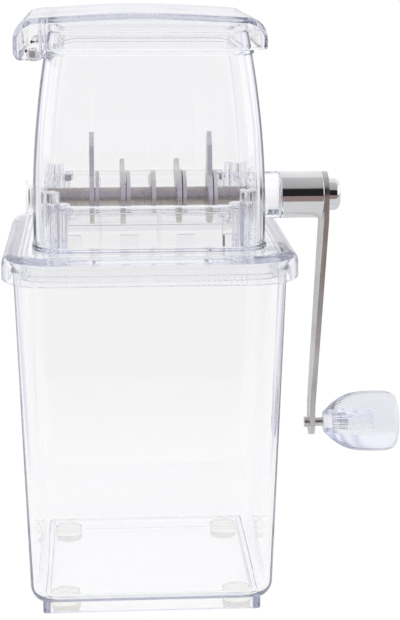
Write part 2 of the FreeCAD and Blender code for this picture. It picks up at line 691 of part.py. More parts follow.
# ---------------------------------------------------------------- the blade carrier and its plates


def make_carrier():
    """The frame on the deck that holds the fixed plates, notched at its corners for the screw posts."""
    body = new_body("blade_carrier", z=deck_top)
    wall = new_sketch(body, "XY_Plane")
    draw_notched_box(wall, carrier_x, carrier_y, D["carrier_notch"])
    draw_notched_box(wall, carrier_in_x, carrier_in_y, D["carrier_notch"])
    pad(body, wall, D["carrier_tall"] - D["carrier_rim"])
    rim = new_sketch(body, "XY_Plane", D["carrier_tall"] - D["carrier_rim"])
    draw_notched_box(rim, carrier_x, carrier_y, D["carrier_notch"])
    draw_notched_box(rim, carrier_in_x - D["carrier_rim_in"], carrier_in_y - D["carrier_rim_in"],
                     D["carrier_notch"])
    pad(body, rim, D["carrier_rim"])
    notch = new_sketch(body, "YZ_Plane")
    notch_half = D["shaft_radius"] + D["notch_clear"]
    foot = D["shaft_high"] - notch_half
    top = D["carrier_tall"] + D["cut_past"]
    round_foot = notch_half * END_ROUND
    draw_outline(notch, [(notch_half, top), (-notch_half, top), (-notch_half, foot, round_foot),
                         (notch_half, foot, round_foot)])
    pocket(body, notch, (carrier_x + D["cut_past"]) * 2, both_ways=True)
    slots = new_sketch(body, "XY_Plane", D["carrier_tall"])
    slot_half = D["plate_thick"] / 2 + D["plate_side_clear"]
    slot_end = carrier_in_y + D["plate_slot"]
    for place in plate_places():
        left, right = place - slot_half, place + slot_half
        draw_outline(slots, [(right, slot_end), (left, slot_end), (left, ZERO), (right, ZERO)])
    pocket(body, slots, D["carrier_tall"] - (D["shaft_high"] - D["plate_down"]))
    return keep(body)


def rotor_places():
    """Where the four rotor blades stand along the shaft."""
    return [D["rotor_shift"] + offset for offset in
            (-D["rotor_far"], -D["rotor_near"], D["rotor_near"], D["rotor_far"])]


def plate_places():
    """Where the fixed plates stand: one beside each rotor blade and one in the middle."""
    beside = [place + fixed_offset for place in rotor_places()]
    return beside[:2] + [D["rotor_shift"] + fixed_offset / 2] + beside[2:]


def make_plates():
    """The fixed cross plates: a bar from the rear wall that hooks over the shaft and ends in front of it."""
    for number, place in enumerate(plate_places(), start=1):
        body = new_body(f"fixed_plate_{number}", place, ZERO, shaft_axis)
        half = D["plate_thick"] / 2
        bar = new_sketch(body, "YZ_Plane", -half)
        end = carrier_in_y + D["plate_slot"] - D["plate_side_clear"]
        low, high = -D["plate_down"], D["plate_up"]
        draw_outline(bar, [(end, low), (end, high), (ZERO, high), (ZERO, low)])
        pad(body, bar, D["plate_thick"])
        eye = new_sketch(body, "YZ_Plane", -half)
        draw_circle(eye, ZERO, ZERO, D["plate_eye"])
        pad(body, eye, D["plate_thick"])
        hole = new_sketch(body, "YZ_Plane")
        draw_circle(hole, ZERO, ZERO, D["shaft_radius"] + D["plate_eye_clear"])
        pocket(body, hole, D["plate_thick"] * 2, both_ways=True)
        under = new_sketch(body, "YZ_Plane")
        beyond = D["plate_eye"] + D["cut_past"]
        draw_outline(under, [(beyond, -beyond), (beyond, low), (-beyond, low), (-beyond, -beyond)])
        pocket(body, under, D["plate_thick"] * 2, both_ways=True)
        keep(body)


# ---------------------------------------------------------------- the shaft, the rotor blades and the crank


def make_shaft():
    """The shaft, with a groove for its clip, bare under the blades and threaded for the nut."""
    groove = D["shaft_radius"] - D["clip_deep"]
    chamfer = D["shaft_radius"] - D["clip_deep"] / 2
    corners = [
        (-clip_outer_face - D["end_gap"], ZERO), (-clip_outer_face - D["end_gap"], chamfer),
        (-clip_outer_face, chamfer), (-clip_outer_face, groove), (-clip_inner_face, groove),
        (-clip_inner_face, D["shaft_radius"]), (arm_inner, D["shaft_radius"]),
        (arm_inner, D["stud_radius"]), (arm_outer + D["nut_bore"] - D["end_gap"], D["stud_radius"]),
        (arm_outer + D["nut_bore"] - D["end_gap"], ZERO)]
    turned_x("rotor_shaft", corners, z=shaft_axis)
    clip_outer = D["shaft_radius"] + D["clip_out"]
    turned_x("shaft_clip", ring_section(-clip_outer_face, -clip_inner_face, groove, clip_outer), z=shaft_axis)


def make_rotor_blades():
    """Four toothed blades: the outer two stand up, the inner two lean back."""
    for number, place in enumerate(rotor_places(), start=1):
        body = new_body(f"rotor_blade_{number}", place, ZERO, shaft_axis)
        if number in (2, 3):
            body.Placement.Rotation = FreeCAD.Rotation(FreeCAD.Vector(1, 0, 0), 0)
            body.setExpression("Placement.Rotation.Angle", (-D["rotor_turn"]).text)
        half = D["rotor_thick"] / 2
        hub = new_sketch(body, "YZ_Plane", -half)
        draw_circle(hub, ZERO, ZERO, D["rotor_hub"])
        pad(body, hub, D["rotor_thick"])
        tooth = new_sketch(body, "YZ_Plane", -half)
        shoulder = D["rotor_reach"] - D["rotor_bevel"]
        draw_outline(tooth, [
            (-D["rotor_root"], ZERO), (-D["rotor_neck"], shoulder), (D["rotor_tip_shift"], D["rotor_reach"]),
            (D["rotor_neck"], shoulder + D["rotor_back_bevel"]), (D["rotor_root_back"], ZERO)])
        pad(body, tooth, D["rotor_thick"])
        hole = new_sketch(body, "YZ_Plane")
        draw_circle(hole, ZERO, ZERO, D["shaft_radius"])
        pocket(body, hole, D["rotor_thick"] * 2, both_ways=True)
        keep(body)


def make_sleeve():
    """The chromed sleeve between the right boss and the arm, drawn in at its waist."""
    middle = sleeve_start + D["sleeve_long"] / 2
    turned_x("crank_sleeve", [
        (sleeve_start, D["shaft_radius"]), (sleeve_start, D["sleeve_radius"], D["sleeve_edge"]),
        (middle, D["sleeve_radius"] - D["sleeve_waist"], D["sleeve_long"]),
        (arm_inner, D["sleeve_radius"], D["sleeve_edge"]), (arm_inner, D["shaft_radius"])], z=shaft_axis)


def make_arm():
    """The flat steel arm: bent twice so that it leans in, and wider at the hub than at the knob."""
    body = new_body("crank_arm", z=shaft_axis)
    side = new_sketch(body, "XZ_Plane")
    top = D["arm_hub"] + D["cut_past"]
    bend_high = -D["arm_hub"]
    bend_low = D["arm_bend_low"] - D["crank_throw"]
    foot = -(D["crank_throw"] + D["arm_tip"] + D["cut_past"])
    out, inner, lean = arm_outer, arm_inner, D["arm_lean"]
    inner_bend = D["arm_bend"]
    outer_bend = D["arm_bend"] + D["arm_thick"]
    draw_outline(side, [
        (out, top), (inner, top), (inner, bend_high, inner_bend), (inner - lean, bend_low, outer_bend),
        (inner - lean, foot), (out - lean, foot), (out - lean, bend_low, inner_bend),
        (out, bend_high, outer_bend)])
    pad(body, side, top * 2, both_ways=True)
    trim = new_sketch(body, "YZ_Plane")
    frame_y, frame_top, frame_foot = D["arm_hub"] * 2, D["arm_hub"] * 2, foot - D["arm_hub"]
    draw_outline(trim, [(frame_y, frame_top), (-frame_y, frame_top), (-frame_y, frame_foot),
                        (frame_y, frame_foot)])
    hub_half, tip_half = D["arm_hub"], D["arm_tip"]
    tip_foot = -(D["crank_throw"] + tip_half)
    draw_outline(trim, [
        (hub_half, hub_half, hub_half * END_ROUND), (-hub_half, hub_half, hub_half * END_ROUND),
        (-tip_half, tip_foot, tip_half * END_ROUND), (tip_half, tip_foot, tip_half * END_ROUND)])
    through = (arm_outer + D["cut_past"]) * 2
    pocket(body, trim, through, both_ways=True)
    holes = new_sketch(body, "YZ_Plane")
    draw_circle(holes, ZERO, ZERO, D["stud_radius"])
    draw_circle(holes, ZERO, -D["crank_throw"], D["axle_radius"])
    pocket(body, holes, through, both_ways=True)
    return keep(body)


def make_nut():
    """The round cap nut over the shaft's threaded end."""
    start, end = arm_outer, arm_outer + D["nut_tall"]
    bore_end = start + D["nut_bore"]
    turned_x("cap_nut", [
        (start, D["stud_radius"]), (start, D["nut_radius"]),
        (end, D["nut_radius"], D["nut_dome"]), (end, ZERO), (bore_end, ZERO),
        (bore_end, D["stud_radius"])], z=shaft_axis)


# ---------------------------------------------------------------- the knob


def make_knob():
    """The knob: a clear bell round a white bush and a fluted core, free to turn on a riveted axle."""
    axis = shaft_axis - D["crank_throw"]
    arm_face = arm_end_outer - D["arm_thick"]
    core_start = knob_start + D["knob_bush"]
    core_end = core_start + D["core_long"]
    stop_start = core_start + D["axle_reach"]
    stop_end = stop_start + D["axle_stop_thick"]
    turned_x("knob_axle", [
        (arm_face - D["axle_head_tall"], ZERO), (arm_face - D["axle_head_tall"], D["axle_head"]),
        (arm_face, D["axle_head"]), (arm_face, D["axle_radius"]), (stop_start, D["axle_radius"]),
        (stop_start, D["axle_stop"]), (stop_end, D["axle_stop"]), (stop_end, ZERO)], z=axis)
    bore = D["axle_radius"] + D["axle_run"]
    turned_x("knob_bush", ring_section(knob_start, core_start, bore, D["knob_bush_radius"]), z=axis)
    far = knob_start + D["knob_long"]
    belly = knob_start + D["knob_belly"]
    turned_x("knob_bell", [
        (knob_start, D["knob_bush_radius"]), (knob_start, D["knob_nose"], D["knob_nose_round"]),
        (belly, D["knob_radius"], D["knob_radius"]), (far, D["knob_radius"], D["knob_end_round"]),
        (far, ZERO), (core_end, ZERO), (core_end, D["core_radius"]), (core_start, D["core_radius"]),
        (core_start, D["knob_bush_radius"])], z=axis)
    core = new_body("knob_core", z=axis)
    section = new_sketch(core, "XY_Plane")
    chamber = D["axle_stop"] + D["end_gap"]
    seat = stop_start - D["end_gap"]
    draw_outline(section, [
        (core_start, bore), (seat, bore), (seat, chamber), (core_end, chamber),
        (core_end, D["core_radius"]), (core_start, D["core_radius"])])
    turn(core, section, "H_Axis")
    flute = new_sketch(core, "YZ_Plane", core_end)
    draw_circle(flute, D["core_radius"], ZERO, D["flute_radius"])
    groove = pocket(core, flute, D["core_long"])
    pattern = core.newObject("PartDesign::PolarPattern", "knob_core_flutes")
    pattern.Originals = [groove]
    pattern.Axis = (next(item for item in core.Origin.OriginFeatures if item.Role == "X_Axis"), [""])
    pattern.Angle = 360
    pattern.setExpression("Occurrences", D["flute_count"].text)
    core.Tip = pattern
    keep(core)


# ---------------------------------------------------------------- the lid


def lid_profile(inset, foot, ear_foot):
    """The lid's outline seen from the front, drawn in by an inset, with its skirt's and ear's feet."""
    left = inset - lid_left
    right = lid_right - inset
    ear_inner = -(pin_out - D["ear_in"])
    crown, shoulder = D["lid_crown"] - inset, D["lid_shoulder"] - inset
    side_round = D["lid_side_round"] - inset
    upper = [
        (right, foot), (right, shoulder, side_round), ((left + right) / 2, crown, D["barrel_radius"]),
        (left, shoulder, side_round)]
    if foot is ear_foot:
        return upper + [(left, ear_foot)]
    return upper + [(left, ear_foot, D["ear_round"]), (ear_inner, ear_foot), (ear_inner, foot)]


def lid_slab(body, inset, foot, ear_foot):
    """The lid's profile run from front to rear: the outside, or the hollow where drawn in by the wall."""
    profile = new_sketch(body, "XZ_Plane")
    draw_outline(profile, lid_profile(inset, foot, ear_foot))
    pad(body, profile, (lid_half_y - inset) * 2, both_ways=True)


def round_lid_corners(body, inset, ear_foot):
    """Cuts a slab's upright corners round."""
    left = inset - lid_left
    right = lid_right - inset
    half_y = lid_half_y - inset
    corner = D["lid_corner"] - inset
    beyond = D["lid_corner"]
    trim = new_sketch(body, "XY_Plane", D["lid_crown"] + D["cut_past"])
    draw_outline(trim, [
        (right + beyond, half_y + beyond), (left - beyond, half_y + beyond),
        (left - beyond, -half_y - beyond), (right + beyond, -half_y - beyond)])
    draw_outline(trim, [
        (right, half_y, corner), (left, half_y, corner), (left, -half_y, corner), (right, -half_y, corner)])
    pocket(body, trim, D["lid_crown"] - ear_foot + D["cut_past"] * 2)


def make_lid_hollow():
    """The room inside the lid, less the ring of the rib that rests on the tower's top."""
    foot = -(D["pin_down"] + D["ear_drop"] + D["lid_wall"])
    hollow = new_body("lid_hollow")
    lid_slab(hollow, D["lid_wall"], foot, foot)
    round_lid_corners(hollow, D["lid_wall"], foot)
    rib = new_sketch(hollow, "XY_Plane")
    rib_x, rib_y = tower_top_x - D["end_gap"], tower_top_y - D["end_gap"]
    draw_rounded_box(rib, rib_x, rib_y, D["tower_corner"])
    draw_rounded_box(rib, rib_x - D["lid_rib"], rib_y - D["lid_rib"], D["tower_corner"] - D["lid_rib"])
    pocket(hollow, rib, D["lid_crown"], reverse=True)
    return hollow


def make_lid():
    """The hollow lid: a crowned cap with an ear over the hinge and a rib that rests on the tower."""
    hollow = make_lid_hollow()
    body = new_body("hopper_lid", z=tower_top)
    ear_foot = -(D["pin_down"] + D["ear_drop"])
    lid_slab(body, ZERO, -D["lid_skirt"], ear_foot)

    def crown_edge(edge):
        box = edge.BoundBox
        return box.ZMin > 0 and box.YMax - box.YMin < D["cut_past"].value
    fillet(body, D["lid_edge_round"], crown_edge)
    round_lid_corners(body, ZERO, ear_foot)
    doc.recompute()
    cut = body.newObject("PartDesign::Boolean", "hopper_lid_hollow")
    cut.Type = "Cut"
    cut.addObject(hollow)
    pins = new_sketch(body, "XZ_Plane")
    draw_circle(pins, -pin_out, -D["pin_down"], D["pin_radius"] + D["pin_run"])
    pocket(body, pins, (lid_half_y + D["cut_past"]) * 2, both_ways=True)
    return keep(body)


# ---------------------------------------------------------------- build, check and write


def write_parts():
    """Checks every object and every sub-part, then writes one STEP file for each sub-part."""
    doc.recompute()
    report_failures()
    for part in sub_parts:
        if part.Shape.isNull() or not part.Shape.isValid() or not part.Shape.Solids:
            raise RuntimeError(f"{part.Label} has no valid solid")
    os.makedirs("parts", exist_ok=True)
    for part in sub_parts:
        part.Shape.exportStep(f"parts/{part.Label}.step")


make_tub()
make_feet()
make_collar()
make_tower()
make_tower_fittings()
make_carrier()
make_plates()
make_shaft()
make_rotor_blades()
make_sleeve()
make_arm()
make_nut()
make_knob()
make_lid()
write_parts()
for part in sub_parts:
    solid_box = part.Shape.BoundBox
    print(f"{part.Label}: {len(part.Shape.Solids)} solid, {part.Shape.Volume:.1f} mm3, "
          f"x {solid_box.XMin:.1f}..{solid_box.XMax:.1f}, y {solid_box.YMin:.1f}..{solid_box.YMax:.1f}, "
          f"z {solid_box.ZMin:.1f}..{solid_box.ZMax:.1f}")
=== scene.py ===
"""Builds the visible pieces of a hand-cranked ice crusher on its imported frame, with their
finishes, a stage and a camera.

Shapes are worked out in millimetres as numpy grids and stored in metres, in the frame's own axes."""
import math

import bpy
import numpy as np
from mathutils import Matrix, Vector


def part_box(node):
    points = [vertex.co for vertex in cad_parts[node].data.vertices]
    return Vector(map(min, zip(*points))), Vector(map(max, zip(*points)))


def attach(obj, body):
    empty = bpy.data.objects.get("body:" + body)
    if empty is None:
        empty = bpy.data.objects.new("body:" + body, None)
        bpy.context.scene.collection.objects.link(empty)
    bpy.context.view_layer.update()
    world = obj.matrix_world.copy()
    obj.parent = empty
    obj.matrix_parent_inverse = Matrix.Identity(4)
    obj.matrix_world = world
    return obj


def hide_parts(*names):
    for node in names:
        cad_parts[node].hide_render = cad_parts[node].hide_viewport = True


bl_info = {
    "name": "Ice crusher pieces",
    "version": (1, 0, 0),
    "blender": (4, 5, 0),
    "location": "3D View > Sidebar > Crusher",
    "description": "Clear plastic, steel, chrome and rubber pieces of an ice crusher, with a stage",
    "category": "Object",
}

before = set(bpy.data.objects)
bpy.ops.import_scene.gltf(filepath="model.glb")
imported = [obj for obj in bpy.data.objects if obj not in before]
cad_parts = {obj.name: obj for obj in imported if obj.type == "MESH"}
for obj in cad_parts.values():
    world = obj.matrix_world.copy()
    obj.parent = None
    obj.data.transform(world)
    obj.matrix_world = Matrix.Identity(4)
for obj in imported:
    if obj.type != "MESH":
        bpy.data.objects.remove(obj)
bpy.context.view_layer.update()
MM = 0.001
CONTACT_GAP = 0.06  # air between clear pieces that rest on each other; without it they render dark
NEAR_AXIS = 0.01  # radius at which a turned path ends, beside the point that closes it
SIDE_END = 0.965  # place of the last column on a side, just before its corner


def node_box(node):
    """A node's lowest and highest corners in millimetres."""
    low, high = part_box(node)
    return np.array(low) / MM, np.array(high) / MM


# ---------------------------------------------------------------- curves and grids


def arc_path(corners, closed=False, steps=5, support=0.7, reach=None):
    """A polyline through (x, y, radius) corners.

    Each corner with a radius becomes a circular arc: with a and b the vectors from the arc's centre
    to its two ends and w the angle between them, a point is
    centre + (sin((1 - t) w) a + sin(t w) b) / sin(w) for t from 0 to 1. One support point lies just
    past each end of an arc, so that flat stretches shade flat. With a reach, no span is longer."""
    points = np.array([corner[:2] for corner in corners], float)
    count = len(points)
    out = []
    for index, corner in enumerate(corners):
        radius = corner[2] if len(corner) > 2 else 0.0
        if radius <= 0 or (not closed and index in (0, count - 1)):
            out.append(points[index][None])
            continue
        here = points[index]
        back, ahead = points[index - 1] - here, points[(index + 1) % count] - here
        long_back, long_ahead = np.linalg.norm(back), np.linalg.norm(ahead)
        back, ahead = back / long_back, ahead / long_ahead
        half = math.acos(float(np.clip(back @ ahead, -1, 1))) / 2
        run = min(radius / math.tan(half), 0.49 * long_back, 0.49 * long_ahead)
        radius = run * math.tan(half)
        middle = here + (back + ahead) / np.linalg.norm(back + ahead) * radius / math.sin(half)
        start, end = here + back * run - middle, here + ahead * run - middle
        turn = math.pi - 2 * half
        t = np.linspace(0, 1, steps + 1)[:, None]
        arc = middle + (np.sin((1 - t) * turn) * start + np.sin(t * turn) * end) / math.sin(turn)
        before = here + back * (run + min(support, 0.3 * (long_back - run)))
        after = here + ahead * (run + min(support, 0.3 * (long_ahead - run)))
        out.append(np.vstack([before, arc, after]))
    path = np.vstack(out)
    if closed:
        path = np.vstack([path, path[:1]])
    if reach:
        spans = np.linalg.norm(np.diff(path, axis=0), axis=1)
        parts = np.maximum(1, np.ceil(spans / reach).astype(int))
        pieces = [path[i] + (path[i + 1] - path[i]) * np.linspace(0, 1, n, endpoint=False)[:, None]
                  for i, n in enumerate(parts)]
        path = np.vstack(pieces + [path[-1:]])
    return path[:-1] if closed else path


def plan_columns(steps=14, along_x=(), along_y=()):
    """Columns round a rounded rectangle, anticlockwise from its right side.

    A column is a pair (f, n): its point is f * (half - corner) + corner * n. On a corner f is the
    corner's signs and n is (cos t, sin t) with t in equal steps; on a side n is the side's normal
    and f runs through the given stations."""
    along_x = np.sort(np.unique(np.r_[-SIDE_END, along_x, SIDE_END]))
    along_y = np.sort(np.unique(np.r_[-SIDE_END, along_y, SIDE_END]))
    share, normal = [], []
    for quarter, (sx, sy) in enumerate(((1, 1), (-1, 1), (-1, -1), (1, -1))):
        t = np.linspace(0, math.pi / 2, steps + 1) + quarter * math.pi / 2
        share.append(np.tile((sx, sy), (steps + 1, 1)))
        normal.append(np.c_[np.cos(t), np.sin(t)])
        side = (quarter + 1) % 4
        if side in (1, 3):
            stations = -along_x if side == 1 else along_x
            share.append(np.c_[stations, np.full(len(stations), sy)])
        else:
            stations = -along_y if side == 2 else along_y
            share.append(np.c_[np.full(len(stations), sx), stations])
        outward = round(math.cos(side * math.pi / 2)), round(math.sin(side * math.pi / 2))
        normal.append(np.tile(outward, (len(stations), 1)))
    return np.vstack(share).astype(float), np.vstack(normal).astype(float)


def plan_grid(columns, half_x, half_y, corner, height, least=0.12):
    """Rows of rounded rectangles: for every row and column the point
    (f_x (half_x - r) + r n_x, f_y (half_y - r) + r n_y, height), with r at least a share of the half
    width."""
    share, normal = columns
    half_x, half_y, height = (np.asarray(v, float)[:, None] for v in (half_x, half_y, height))
    half = np.minimum(half_x, half_y)
    corner = np.minimum(np.maximum(np.asarray(corner, float)[:, None], least * half), 0.98 * half)
    x = share[:, 0] * (half_x - corner) + corner * normal[:, 0]
    y = share[:, 1] * (half_y - corner) + corner * normal[:, 1]
    return np.stack([x, y, np.broadcast_to(height, x.shape)], axis=-1)


def turned_grid(path, axis, around=64, centre=(0, 0, 0)):
    """A path of (distance along the axis, radius) points carried round the axis: the radius times
    (cos t, sin t)."""
    t = np.linspace(0, 2 * math.pi, around, endpoint=False)
    along = np.broadcast_to(path[:, :1], (len(path), around))
    u, v = path[:, 1:] * np.cos(t), path[:, 1:] * np.sin(t)
    order = {"X": (along, u, v), "Y": (u, along, v), "Z": (u, v, along)}[axis]
    return np.stack(order, axis=-1) + np.array(centre, float)


def grid_faces(rows, columns, closed_rows):
    """Quads between neighbouring rows and columns; columns always close, rows on request."""
    r = np.arange(rows if closed_rows else rows - 1)[:, None]
    c = np.arange(columns)[None]
    below, above = r * columns, (r + 1) % rows * columns
    nxt = (c + 1) % columns
    return np.stack([below + c, below + nxt, above + nxt, above + c], axis=-1).reshape(-1, 4)


def signed_volume(points, faces):
    """Six times the volume inside the faces, positive where they point outwards: the sum of
    a . (b x c) over triangles."""
    total = 0.0
    for face in faces:
        for second in range(1, face.shape[1] - 1):
            a, b, c = points[face[:, 0]], points[face[:, second]], points[face[:, second + 1]]
            total += np.einsum("ij,ij->i", a, np.cross(b, c)).sum()
    return total


def add_piece(name, points, faces, body, slot, material, stands_for=()):
    """Turns points in millimetres and lists of equal-sided faces into a smooth object that rides on
    a body."""
    if signed_volume(points - points.mean(0), faces) < 0:
        faces = [face[:, ::-1] for face in faces]
    mesh = bpy.data.meshes.new(name)
    mesh.from_pydata((points * MM).tolist(), [], [f for face in faces for f in face.tolist()])
    mesh.polygons.foreach_set("use_smooth", np.ones(len(mesh.polygons), bool))
    mesh.update()
    if mesh.validate():
        raise RuntimeError(f"{name} had broken faces")
    piece = bpy.data.objects.new(name, mesh)
    bpy.context.scene.collection.objects.link(piece)
    mesh.materials.append(material)
    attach(piece, body)
    if stands_for:
        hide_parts(*stands_for)


def grid_mesh(grid, closed_rows=False, pole_start=None, pole_end=None):
    """Points and faces of a grid; a pole closes its first or last row with a fan of triangles to
    one point."""
    rows, columns = grid.shape[:2]
    points = grid.reshape(-1, 3)
    faces = [grid_faces(rows, columns, closed_rows)]
    c = np.arange(columns)
    nxt = (c + 1) % columns
    if pole_start is not None:
        faces.append(np.stack([nxt, c, np.full(columns, len(points))], axis=-1))
        points = np.vstack([points, pole_start])
    if pole_end is not None:
        last = (rows - 1) * columns
        faces.append(np.stack([last + c, last + nxt, np.full(columns, len(points))], axis=-1))
        points = np.vstack([points, pole_end])
    return points, faces


def tube_mesh(start, end, outer, inner, axis, centre, edge=0.4, around=56):
    """A straight tube: its rounded section carried round the axis."""
    path = arc_path([(start, inner, edge), (end, inner, edge), (end, outer, edge),
                     (start, outer, edge)], closed=True)
    return grid_mesh(turned_grid(path, axis, around, centre), closed_rows=True)


def plate_mesh(outline, start, end, edge):
    """A plate: a closed outline of (x, z) points carried along Y, its two faces closed by fans and
    its edges rounded.

    A row is the outline drawn in by edge * (1 - cos t) along its own normals while the height runs
    by edge * sin t."""
    ahead = np.roll(outline, -1, 0) - np.roll(outline, 1, 0)
    ahead /= np.linalg.norm(ahead, axis=1)[:, None]
    following = np.roll(outline, -1, 0)
    area = (outline[:, 0] * following[:, 1] - outline[:, 1] * following[:, 0]).sum()
    normal = np.c_[ahead[:, 1], -ahead[:, 0]] * np.sign(area)
    t = np.linspace(0, math.pi / 2, 4)
    inset = np.r_[edge * (1 - np.sin(t)), edge * (1 - np.cos(t))]
    level = np.r_[start + edge * (1 - np.cos(t)), end - edge + edge * np.sin(t)]
    flat = outline[None] - inset[:, None, None] * normal[None]
    high = np.broadcast_to(level[:, None], flat.shape[:2])
    grid = np.stack([flat[..., 0], high, flat[..., 1]], axis=-1)
    return grid_mesh(grid, pole_start=grid[0].mean(0), pole_end=grid[-1].mean(0))


# ---------------------------------------------------------------- finishes


def new_material(name):
    """A node material with its surface shader linked to its output."""
    material = bpy.data.materials.new(name)
    material.use_nodes = True
    tree = material.node_tree
    tree.nodes.clear()
    output = tree.nodes.new("ShaderNodeOutputMaterial")
    shader = tree.nodes.new("ShaderNodeBsdfPrincipled")
    tree.links.new(shader.outputs[0], output.inputs["Surface"])
    return material, tree, shader, output


def feed(tree, socket, value):
    """Links a socket to another node's output, or sets its value."""
    if isinstance(value, bpy.types.NodeSocket):
        tree.links.new(value, socket)
    else:
        socket.default_value = value


def math_node(tree, operation, *values, clamp=False):
    """The result of a sum on numbers and other nodes' outputs."""
    node = tree.nodes.new("ShaderNodeMath")
    node.operation, node.use_clamp = operation, clamp
    for socket, value in zip(node.inputs, values):
        feed(tree, socket, value)
    return node.outputs[0]


def half_turns(tree, across, ahead):
    """The angle whose tangent is across / ahead, in half turns."""
    return math_node(tree, "DIVIDE", math_node(tree, "ARCTAN2", across, ahead), math.pi)


def object_noise(tree, scale, stretch=(1, 1, 1), detail=4.0, roughness=0.55):
    """Noise over the piece's own coordinates, stretched by a mapping."""
    coordinates = tree.nodes.new("ShaderNodeTexCoord")
    mapping = tree.nodes.new("ShaderNodeMapping")
    mapping.inputs["Scale"].default_value = stretch
    noise = tree.nodes.new("ShaderNodeTexNoise")
    noise.inputs["Scale"].default_value = scale
    noise.inputs["Detail"].default_value = detail
    noise.inputs["Roughness"].default_value = roughness
    tree.links.new(coordinates.outputs["Object"], mapping.inputs[0])
    tree.links.new(mapping.outputs[0], noise.inputs["Vector"])
    return noise.outputs["Fac"]


def map_range(tree, source, low, high, start=0.3, end=0.7):
    """Spreads a value from start to end over low to high."""
    node = tree.nodes.new("ShaderNodeMapRange")
    for name, value in (("From Min", start), ("From Max", end), ("To Min", low), ("To Max", high)):
        node.inputs[name].default_value = value
    tree.links.new(source, node.inputs["Value"])
    return node.outputs[0]


def colour_ramp(tree, source, stops):
    """Colours along a value."""
    node = tree.nodes.new("ShaderNodeValToRGB")
    ramp = node.color_ramp
    while len(ramp.elements) < len(stops):
        ramp.elements.new(0.5)
    for element, (place, colour) in zip(ramp.elements, stops):
        element.position = place
        element.color = (*colour, 1.0)
    tree.links.new(source, node.inputs[0])
    return node.outputs["Color"]


def add_bump(tree, shader, source, strength, distance):
    """Relief from a value; distance in metres."""
    bump = tree.nodes.new("ShaderNodeBump")
    bump.inputs["Strength"].default_value = strength
    bump.inputs["Distance"].default_value = distance
    tree.links.new(source, bump.inputs["Height"])
    tree.links.new(bump.outputs[0], shader.inputs["Normal"])


def mottle(tree, shader, scale, dark, light, rough, detail=6):
    """Lets colour and roughness follow one fine noise, and returns it."""
    noise = object_noise(tree, scale, detail=detail)
    tree.links.new(colour_ramp(tree, noise, [(0.3, dark), (0.7, light)]), shader.inputs["Base Color"])
    tree.links.new(map_range(tree, noise, *rough), shader.inputs["Roughness"])
    return noise


def clear_plastic(name, look, wave=0.12, depth_share=1.0):
    """Clear moulded plastic: glass-like, with the flow ripple of moulding, faint handling haze and
    a cool tint in its depth."""
    material, tree, shader, output = new_material(name)
    shader.inputs["Base Color"].default_value = (1, 1, 1, 1)
    shader.inputs["Transmission Weight"].default_value = 1.0
    shader.inputs["IOR"].default_value = look.plastic_ior
    haze = object_noise(tree, 55, detail=5)
    tree.links.new(map_range(tree, haze, 0.0, look.plastic_haze, 0.45, 0.8), shader.inputs["Roughness"])
    add_bump(tree, shader, object_noise(tree, 26, stretch=(1, 1, 0.45), detail=1), wave, 0.001)
    depth = tree.nodes.new("ShaderNodeVolumeAbsorption")
    depth.inputs["Color"].default_value = (*look.plastic_tint, 1)
    depth.inputs["Density"].default_value = look.tint_density * depth_share
    tree.links.new(depth.outputs[0], output.inputs["Volume"])
    return material


def worked_steel(name, light, dark, rough, stretch, stain_scale=60, brush=0.25, metallic=1.0):
    """Bare steel: fine drawn lines along one direction, with stains where ice water dried."""
    material, tree, shader, _ = new_material(name)
    shader.inputs["Metallic"].default_value = metallic
    stain = object_noise(tree, stain_scale, detail=6, roughness=0.6)
    tree.links.new(colour_ramp(tree, stain, [(0.36, dark), (0.62, light)]), shader.inputs["Base Color"])
    lines = object_noise(tree, 900, stretch=stretch, detail=3)
    tree.links.new(map_range(tree, lines, *rough), shader.inputs["Roughness"])
    add_bump(tree, shader, lines, brush, 0.0001)
    return material


def chrome(name):
    """Bright chrome with the faint clouding of a handled plating."""
    material, tree, shader, _ = new_material(name)
    shader.inputs["Metallic"].default_value = 1.0
    mottle(tree, shader, 120, (0.86, 0.87, 0.89), (0.94, 0.94, 0.95), (0.02, 0.07))
    add_bump(tree, shader, object_noise(tree, 70, detail=2), 0.06, 0.001)
    return material


def clear_rubber(name):
    """Soft translucent feet: milky, slightly yellowed, with dust in their pores."""
    material, tree, shader, _ = new_material(name)
    shader.inputs["Transmission Weight"].default_value = 0.96
    shader.inputs["IOR"].default_value = 1.42
    dust = mottle(tree, shader, 300, (0.93, 0.92, 0.86), (0.98, 0.97, 0.93), (0.10, 0.25))
    add_bump(tree, shader, dust, 0.2, 0.0002)
    return material


def white_plastic(name):
    """White bearing plastic, a little glossy, with grease shade in its noise."""
    material, tree, shader, _ = new_material(name)
    shade = mottle(tree, shader, 180, (0.97, 0.97, 0.965), (0.995, 0.995, 0.99), (0.28, 0.42), detail=4)
    add_bump(tree, shader, shade, 0.1, 0.0002)
    return material


# ---------------------------------------------------------------- what a user may change


